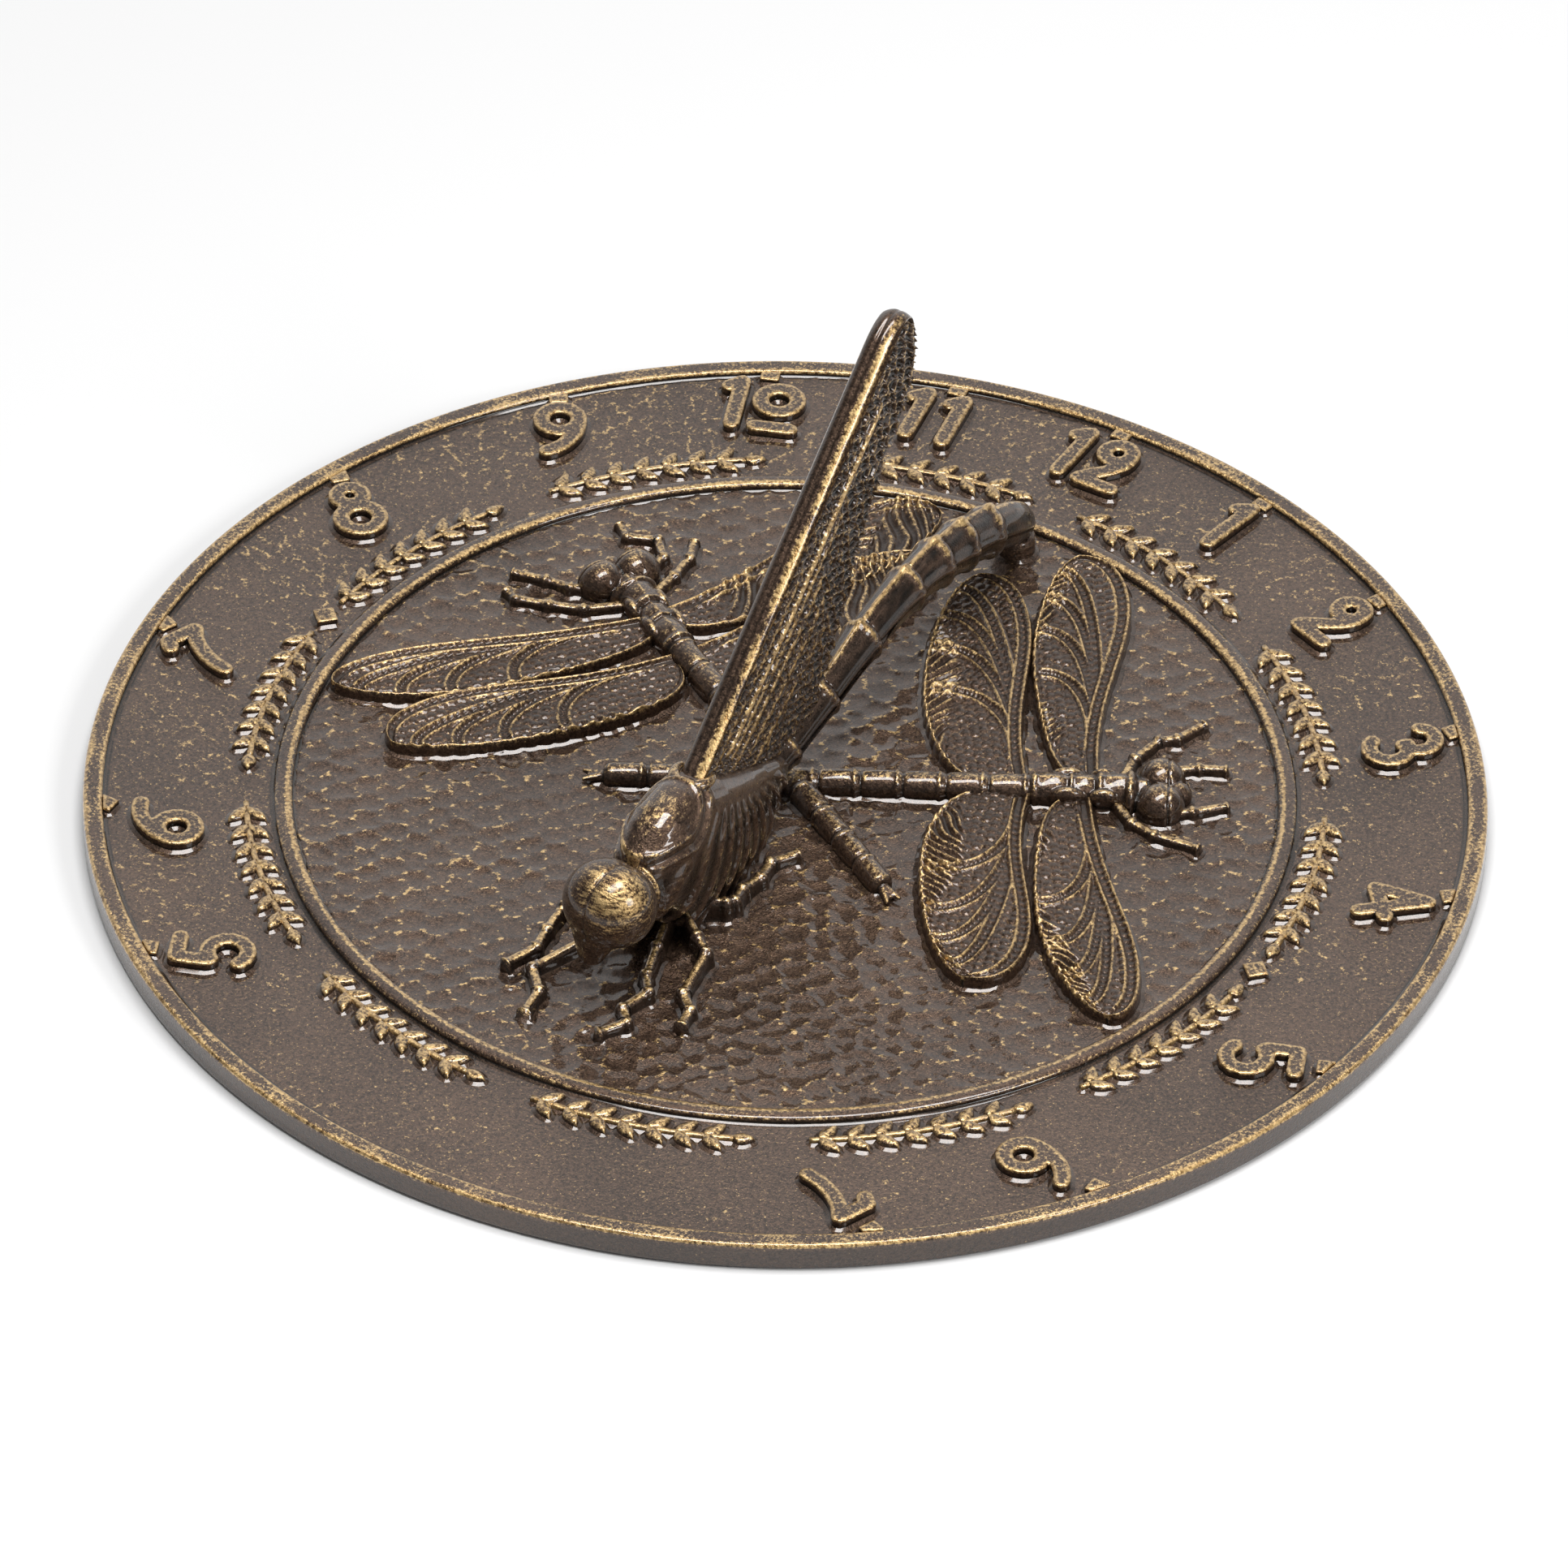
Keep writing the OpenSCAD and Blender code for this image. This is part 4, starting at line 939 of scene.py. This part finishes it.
def thorax_skin(t, a):
    """Surface of the thorax at the share t of its length and the angle a, counted from the east side."""
    y = thorax_front + t * thorax_length
    half, top, low = (np.interp(y, thorax_rows[:, 0], thorax_rows[:, k]) for k in (1, 2, 3))
    nose = math.sqrt(held(t / 0.03))
    middle = (top + low) / 2
    tall = (top - low) / 2
    square = 0.82
    cos_a, sin_a = math.cos(a), math.sin(a)
    x = blunt(cos_a, square)
    z = blunt(sin_a, square)
    from_top = abs((math.degrees(a) - 90 + 180) % 360 - 180)
    shield = math.hypot((y - shield_y) / shield_half, from_top / 50)
    border = bell(shield - 1.02, 0.085)
    outer_border = bell(shield - 1.34, 0.06)
    dome = math.sqrt(max(0.0, 1 - shield ** 2))
    lift = 0.7 * dome + 0.75 * border - 0.3 * bell(shield - 1.18, 0.05) + 0.4 * outer_border
    flank = held((from_top - 52) / 16) * held((168 - from_top) / 14) * held((shield - 1.4) / 0.3)
    high = middle + z * tall
    fan = math.degrees(math.atan2(pleat_top[0] - y, pleat_top[1] - high)) + 4 * math.sin(high / 6)
    pleat = (0.5 + 0.5 * math.cos(math.tau * fan / pleat_step)) ** 1.5
    lift += flank * 0.7 * pleat
    rub_and_painted_light = border * (0.75 if cos_a < 0.2 else 0.3) + 0.2 * outer_border + 0.22 * flank * pleat
    # Brass over the middle of the shield; painted shade in the creases between the pleats on the flanks.
    rub_and_painted_light += 0.34 * bell(shield - 0.2, 0.45) * max(0.0, sin_a) - 0.6 * flank * (1 - pleat)
    x *= (half + lift) * nose
    z = middle + z * (tall + lift) * nose
    skirt = max(0.0, 1 - z / 3.0) if z > 0 else 1.0
    x += math.copysign(1.3 * skirt ** 2, x) if -53 < y < -15 else 0.0
    return (x, y, max(z, -0.8), rub_and_painted_light)


abdomen_steps = 420
abdomen_curve = bezier([[-9, 12.0], [22, 14.8], [48, 38.8], [106, 4.6]], abdomen_steps)
abdomen_way = np.gradient(abdomen_curve, axis=0)
abdomen_way /= np.linalg.norm(abdomen_way, axis=1)[:, None]
abdomen_joints = (0.0, 0.1, 0.27, 0.45, 0.62, 0.72, 0.8, 0.88, 1.0)


def abdomen_skin(t, a):
    """Surface of the arched abdomen: gabled rings, each lapping over the next, with a keel along the top."""
    k = round(t * abdomen_steps)
    number = max(n for n in range(len(abdomen_joints) - 1) if abdomen_joints[n] <= t)
    start, stop = abdomen_joints[number], abdomen_joints[number + 1]
    part = (t - start) / (stop - start)
    last = number == len(abdomen_joints) - 2
    size = 3.55 + 1.0 * min(1.0, t * 2.4) + 0.8 * bell(t - 0.8, 0.16)
    size *= 0.9 + 0.13 * part ** 1.6
    size -= 0.45 * bell(t - start, 0.005)
    bulge = bell(stop - 0.012 - t, 0.009) * (0 if last else 1)
    size += 0.4 * bulge
    if last:
        size *= math.sqrt(max(0.0, 1 - (max(0.0, part - 0.3) / 0.7) ** 2.2))
    sin_a, cos_a = math.sin(a), math.cos(a)
    wide = blunt(cos_a, 0.8)
    tall = 1.12 * sin_a ** 1.5 if sin_a > 0 else -abs(sin_a) ** 0.8
    crest = bell(a - math.pi / 2, 0.12)
    keel = 1.0 * crest * (0.5 if last else 1.0) * min(1.0, t * 12)
    edge = bell(min(a, abs(a - math.pi)) - 0.25, 0.1)
    y, z = abdomen_curve[k]
    dy, dz = abdomen_way[k]
    rise = tall * size + keel
    mottle = noise.noise(Vector((4 * cos_a, 30 * t, 4 * sin_a)))
    # Brass along the keel and the ring lips; elsewhere the mark stays below 0, painted shade that darkens the
    # flanks.
    rub_and_painted_light = 1.5 * crest + 0.95 * bulge * max(0.0, sin_a + 0.4) + 0.2 * edge + 0.8 * mottle * t - 0.45
    return ((wide + 0.04 * math.copysign(edge, cos_a)) * size, y - dz * rise, max(z + dy * rise, -0.3), rub_and_painted_light)


torso_shape = tube(thorax_skin, along=250, around=230)
gather(torso_shape, tube(abdomen_skin, along=abdomen_steps, around=76))
tail_foot = [(0, -0.5), (4.6, -0.5), (4.3, 0.4), (4.2, 4.4), (3.6, 5.0), (0, 5.0)]
gather(torso_shape, turned(tail_foot, steps=48, about=(0, screw_places[1])))


def collar(t, a):
    """Saddle that wraps the front of the blade's foot."""
    turn = math.radians(-205 + 230 * t)
    size = 1.5 * math.sin(math.pi * held(0.04 + 0.92 * t)) ** 0.4
    reach = 4.2 + size * math.cos(a)
    high = saddle_z + 0.9 * size * math.sin(a)
    return (reach * math.cos(turn), saddle_y + reach * math.sin(turn), high, 0.35)


gather(torso_shape, tube(collar, along=60, around=24))
shift(torso_shape, (0, 0, face_z))
thorax_lacquer = bronze_finish("thorax_lacquer", grain=0.6, fleck=0.3, gloss=0.95, streak=(1, 0.5, 1))
torso = cast_piece("standing_body", torso_shape, thorax_lacquer, wear=0.5, top=0.06)
abdomen_lacquer = bronze_finish("abdomen_lacquer", fleck=0.3, gloss=0.6, polish=0.1, streak=(1, 0.5, 1))
torso.data.materials.append(abdomen_lacquer)
for face in torso.data.polygons:
    face.material_index = int(face.center.y > (seat_rear[0] + 1.5) * MM)
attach(torso, "root")
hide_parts("gnomon_body")

# Head of the standing dragonfly. Two great eyes meet in a seam over a small wedge face. The head is cast with
# the body, and the brass rub is brushed over the tops of its eyes, heaviest on the side turned up and east,
# where it is partly a painted highlight.
eye_r = 9.2
eye_side = 1.4
head_centre = Vector((0, -74.4, 22.0))
brass_and_highlight_side = Vector((0.5, -0.35, 0.79))


def eye_shape():
    """Both eyes, the face under them and the neck behind them."""
    shape = ball(head_centre + Vector((eye_side, 0, 0)), eye_r, turns=48)
    gather(shape, ball(head_centre - Vector((eye_side, 0, 0)), eye_r, turns=48))

    def wedge(t, a):
        size = (6.8 - 3.8 * t) * (1 if t < 0.96 else 0.7)
        return (size * math.cos(a) * 1.05, head_centre.y - 4.2 - 2.0 * t + size * 0.62 * math.sin(a),
                head_centre.z - 3.0 - 7.8 * t + 1.6 * math.sin(a))

    gather(shape, tube(wedge, along=24, around=32))

    def neck(t, a):
        size = 5.0 + 0.8 * math.sin(math.tau * 1.5 * t) ** 2
        return (size * math.cos(a), -69.5 + 6.0 * t, 20.5 + size * math.sin(a))

    gather(shape, tube(neck, along=24, around=40))
    return shape


head_shape = melt(eye_shape(), voxel=0.32, rounds=2)
head_shape.normal_update()
rub_and_light_layer = head_shape.verts.layers.float.new("rub_and_painted_light")
for v in head_shape.verts:
    off = v.co - head_centre
    swept = Vector((0.5 * off.x + 0.8 * off.y, 0.5 * off.y - 0.8 * off.x, 2.5 * off.z)) * 0.22
    # Brass brushed over the eyes, heaviest where they turn up, east and south: that side's brass is partly a
    # painted highlight.
    v[rub_and_light_layer] = 0.78 * max(0.0, v.normal.dot(brass_and_highlight_side)) ** 1.8 + 0.2 * noise.noise(swept) - 0.05
    if off.z > -7 and off.y < 6:
        v.co -= off.normalized() * 0.35 * bell(off.x, 0.3)
    if off.z < -5.5 and off.y < -2:
        v.co += Vector((0, -0.35, 0)) * bell(off.x, 0.5)
bmesh.ops.rotate(head_shape, verts=head_shape.verts, cent=head_centre,
                 matrix=Matrix.Rotation(math.radians(-10), 3, "Z"))
shift(head_shape, (0, 0, face_z))
eye_lacquer = bronze_finish("eye_lacquer", fleck=0.2, gloss=0.6, polish=0.12, streak=(0.3, 1.0, 1.8))
head = cast_piece("standing_head", head_shape, eye_lacquer, wear=0.6)
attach(head, "root")
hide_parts("gnomon_head")

# Folded wings of the standing dragonfly, cast with its body. They stand closed over the back: a plain front
# face, whose edge is the style, a net of small cells in rows, long ribs at the root, a scalloped rear edge.
latitude = math.radians(41)
style_foot = 80.0
style_l = 152.0
front_columns = 20
side_columns = 112
blade_rows = 384
front_half = 2.95
corner_depth = 1.25
row_pitch = 3.1
blade_lobe = 5.6


def off_style(along, below):
    """Point of the noon plane given along the style from its foot, and square to it towards the plate."""
    return (-style_foot + along * math.cos(latitude) + below * math.sin(latitude),
            along * math.sin(latitude) - below * math.cos(latitude))


def edge_line(path, bends):
    """Carries an edge on through curves, whose steps and further points are given from the style's end."""
    for steps, *points in bends:
        points = [off_style(style_l + along, below) for along, below in points]
        path.extend(bezier([path[-1]] + points, steps)[1:])
    return np.array(path)


blade_front = edge_line([off_style(48.5, 0.05), off_style(style_l, 0.05)], [
    (40, (8, 0.05), (12.85, 3.1), (9.9, 11))])
blade_rear = edge_line([(-11.0, 13.0), seat_rear], [
    (10, (-90, 47), (-80, 45.5), (-70, 44)), (40, (-52, 41), (-40, 31), (-18, 26.6)),
    (30, (-8, 25.5), (3, 23), (2.6, 18.8)), (16, (6, 17.5), (8.5, 15), (9.9, 11))])

blade_columns = front_columns + 2 * side_columns
blade_shape = bmesh.new()
bmesh.ops.create_grid(blade_shape, x_segments=blade_rows, y_segments=blade_columns, size=0.5)
grid = np.array([v.co[:] for v in blade_shape.verts])
s = grid[:, 0] + 0.5
column = np.round((grid[:, 1] + 0.5) * blade_columns)
in_front = column < front_columns
front_share = np.where(in_front, 1 - 2 * column / front_columns, 0)
round_trip = np.where(in_front, 0, (column - front_columns) / side_columns)
across = np.where(round_trip <= 1, round_trip, 2 - round_trip)
face_side = np.where(in_front, front_share, np.where(round_trip <= 1, -1.0, 1.0))
ahead, front_run = evenly(blade_front, s)
behind, rear_run = evenly(blade_rear, s)
lobe = np.abs(np.sin(math.pi * (s * rear_run / blade_lobe + 0.5 * np.sin(s * 31.0))))
open_edge = clamp((s - 0.2) * 8) * clamp((0.97 - s) * 20)
behind = part_way(behind, ahead, 1.5 * open_edge * (1 - lobe ** 0.6))
wide = np.linalg.norm(behind - ahead, axis=1) + 1e-6
front_dip = 0.25 * bell(front_share, 0.14) + corner_depth * clamp((np.abs(front_share) - 0.2) / 0.8) ** 2
depth = np.where(in_front, front_dip, np.maximum(across * wide, corner_depth))
depth = np.minimum(depth, wide)
place = part_way(ahead, behind, depth)
along = s * front_run
rear_gap = wide - depth
near_tip = clamp((1 - s) * front_run / 9.0)

row = (depth - 2.4) / (row_pitch * (0.5 + 0.5 * along / 100))
row = row - 0.0085 * np.maximum(0, along - 84) ** 2 / row_pitch
sway = drift(place, 2.0, 0.3)
row = row + 0.35 * sway
wave = 0.34 * np.sin(math.tau * (along / 3.6 + 0.45 * sway))
gaps = []
for k in (-1, 0, 1):
    line = np.round(row) + k
    gaps.append(np.abs(row - line - wave * (1 - 2 * (line % 2))))
strand = bell(np.min(gaps, axis=0), 0.21)
netted = clamp((depth - 2.2) / 0.5) * clamp(rear_gap / 0.8)
costal = clamp((2.7 - depth) / 0.4)
long_ribs = [(6.4, 0.02, 0.5, 0.7), (10.6, 0.06, 0.82, 1.3), (14.4, 0.05, 0.62, 0.9), (18.6, 0.02, 0.5, 0.95),
             (24.2, 0.06, 0.46, 0.8), (30.4, 0.04, 0.4, 0.8)]
root_pinch = 0.75 + 0.25 * clamp(s / 0.35)
ribs = 0
for at, start, stop, bold in long_ribs:
    ends = clamp((s - start) * 25) * clamp((stop - s) * 12)
    ribs = ribs + bell(depth - at * root_pinch, 0.42 + 0.28 * bold) * ends * bold
rear_rib = bell(rear_gap - 0.7, 0.45) * open_edge
half = 1.95 - 0.75 * clamp(depth / 34.0) + 1.0 * clamp((2.5 - depth) / 0.6)
half = half + 1.05 * strand * netted * (1 - np.minimum(ribs, 1)) + 1.25 * ribs + 0.3 * rear_rib
half = half * (0.5 + 0.5 * near_tip) * np.sqrt(clamp((rear_gap + 0.12) / 0.8))
half = np.where(in_front, front_half * (0.5 + 0.5 * near_tip), np.minimum(half, 3.15))
patchy = drift(place, 7.0, 0.12)
bright = clamp((0.98 - s) * 7) * (0.85 + 0.8 * patchy)
rub_and_painted_light = (0.6 * costal * bright + 0.66 * strand * netted + (1.1 + 0.9 * patchy) * np.minimum(ribs, 1)
       + 0.35 * rear_rib)
# Painted shade: the gaps of the net between the strands go well below 0 and darken.
rub_and_painted_light = rub_and_painted_light - 0.9 * netted * (1 - strand) * (1 - np.minimum(ribs, 1))
rub_and_painted_light = np.where(in_front, 1.25 * bright * bell(front_share - 0.72, 0.34) - 0.1, rub_and_painted_light)
rub_and_light_layer = blade_shape.verts.layers.float.new("rub_and_painted_light")
for v, p, h, side, mark in zip(blade_shape.verts, place, half, face_side, rub_and_painted_light):
    v.co = (side * float(h), p[0], p[1] + face_z)
    v[rub_and_light_layer] = mark
bmesh.ops.remove_doubles(blade_shape, verts=blade_shape.verts, dist=2e-3)
close_up(blade_shape)
blade_lacquer = bronze_finish("blade_lacquer", grain=0.4, fleck=0.2, gloss=0.85, polish=0.08)
blade = cast_piece("folded_wings", blade_shape, blade_lacquer, wear=0.1)
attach(blade, "root")
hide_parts("gnomon_wings")

# Lacquer fillets. The lacquer runs together along the foot of every relief form and sets there as a narrow,
# smooth slope on the plate, which mirrors the lamp overhead as a thin pale line.
fillet_steps = ((-0.4, 0.57), (-0.05, 0.42), (0.25, 0.28), (0.6, 0.117), (0.85, 0.0), (1.05, -0.1),
                (1.05, -0.5), (-0.4, -0.5))
fillet_pitch = 0.5
shortest_foot = 3


def foot_lines(piece, height):
    """Outlines of a piece at a height above the plate's face: points in plan, and the ways outward."""
    shape = in_mm(piece.data)
    everything = shape.verts[:] + shape.edges[:] + shape.faces[:]
    cut = bmesh.ops.bisect_plane(shape, geom=everything, dist=1e-4, plane_co=(0, 0, face_z + height),
                                 plane_no=(0, 0, 1))["geom_cut"]
    shape.normal_update()
    beside = {}
    for item in cut:
        if isinstance(item, bmesh.types.BMEdge):
            for v in item.verts:
                beside.setdefault(v, []).append(item.other_vert(v))
    lines = []
    while beside:
        loop = [next(iter(beside))]
        while True:
            onward = [v for v in beside.pop(loop[-1]) if v in beside]
            if not onward:
                break
            loop.append(onward[0])
        path = np.array([v.co.xy[:] for v in loop + loop[:1]])
        step = np.diff(path, axis=0)
        length = np.linalg.norm(step, axis=1).sum()
        if length < shortest_foot:
            continue
        count = round(length / fillet_pitch)
        normal = np.array([v.normal.xy[:] for v in loop])
        hand = 1 if (step[:, 1] * normal[:, 0] - step[:, 0] * normal[:, 1]).sum() > 0 else -1
        spots = evenly(path, np.arange(count) / count)[0]
        out = np.roll(spots, -1, axis=0) - np.roll(spots, 1, axis=0)
        out = np.stack([out[:, 1], -out[:, 0]], axis=1) * hand
        for _ in range(2):
            spots = (np.roll(spots, 1, axis=0) + 2 * spots + np.roll(spots, -1, axis=0)) / 4
            out = (np.roll(out, 1, axis=0) + 2 * out + np.roll(out, -1, axis=0)) / 4
        lines.append((spots, out / (np.linalg.norm(out, axis=1)[:, None] + 1e-9)))
    shape.free()
    return lines


def fillet(spots, out, ground):
    """Narrow slope along one outline, on the ground whose height ground(place) gives."""
    def skin(t, a):
        k = round(t * len(spots)) % len(spots)
        far, high = fillet_steps[round(a / math.tau * len(fillet_steps)) % len(fillet_steps)]
        x, y = spots[k] + out[k] * far
        # Painted shade: the fillets carry a mark of -0.2, a little darker at the foot of each form.
        return (x, y, ground(Vector((x, y, 0))) + high, -0.2)

    return tube(skin, len(spots), len(fillet_steps))


def beaten_ground(spot):
    """Height of the lacquer on the hammered ground, which it half evens out."""
    return face_z + 0.2 + 0.35 * (beaten_height(spot)[0] - face_z)


def flat_ground(spot):
    """Height of the plate's face."""
    return face_z


relief_names = ("_relief_wings", "_relief_body", "_relief_legs")
field_pieces = [bpy.data.objects[quarter + name] for quarter in body_turns for name in relief_names]
feet = {"field_fillets": (field_pieces + [perch, torso], 0.8, beaten_ground),
        "band_fillets": ([marks, numerals, sprays, studs], 0.35, flat_ground)}
for name, (pieces, height, ground) in feet.items():
    fillet_shape = bmesh.new()
    for piece in pieces:
        for spots, out in foot_lines(piece, height):
            gather(fillet_shape, fillet(spots, out, ground))
    fillets = cast_piece(name, fillet_shape, relief_lacquer, wear=0.0, ground=face_z + 5)
    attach(fillets, "root")

# Gnomon screws. Two countersunk socket screws of bright steel come up through the plate's bosses from below
# and hold the standing dragonfly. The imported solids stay, with a turned steel finish.
dull_steel = (0.36, 0.36, 0.35, 1)
bright_steel = (0.60, 0.60, 0.59, 1)
steel, tree = bare_finish("screw_steel")
where = wire(tree, "TexCoord").outputs["Object"]
rings = wire(tree, "TexWave", {"Vector": where, "Scale": 900.0, "Distortion": 2.0}, wave_type="RINGS")
dust = wire(tree, "TexNoise", {"Vector": where, "Scale": 700.0, "Detail": 3.0}).outputs["Fac"]
tone = wire(tree, "Mix", {"Factor": dust, "A": dull_steel, "B": bright_steel}, data_type="RGBA")
rough = wire(tree, "MapRange", {"Value": dust, "To Min": 0.2, "To Max": 0.45}).outputs[0]
cut = wire(tree, "Bump", {"Height": rings.outputs["Fac"], "Strength": 0.2, "Distance": 0.00005}).outputs[0]
skin = wire(tree, "BsdfPrincipled", {
    "Base Color": tone.outputs["Result"], "Metallic": 1.0, "Roughness": rough, "Normal": cut})
wire(tree, "OutputMaterial", {"Surface": skin.outputs[0]})
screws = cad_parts["gnomon_screws"]
screws.data.materials.clear()
screws.data.materials.append(steel)
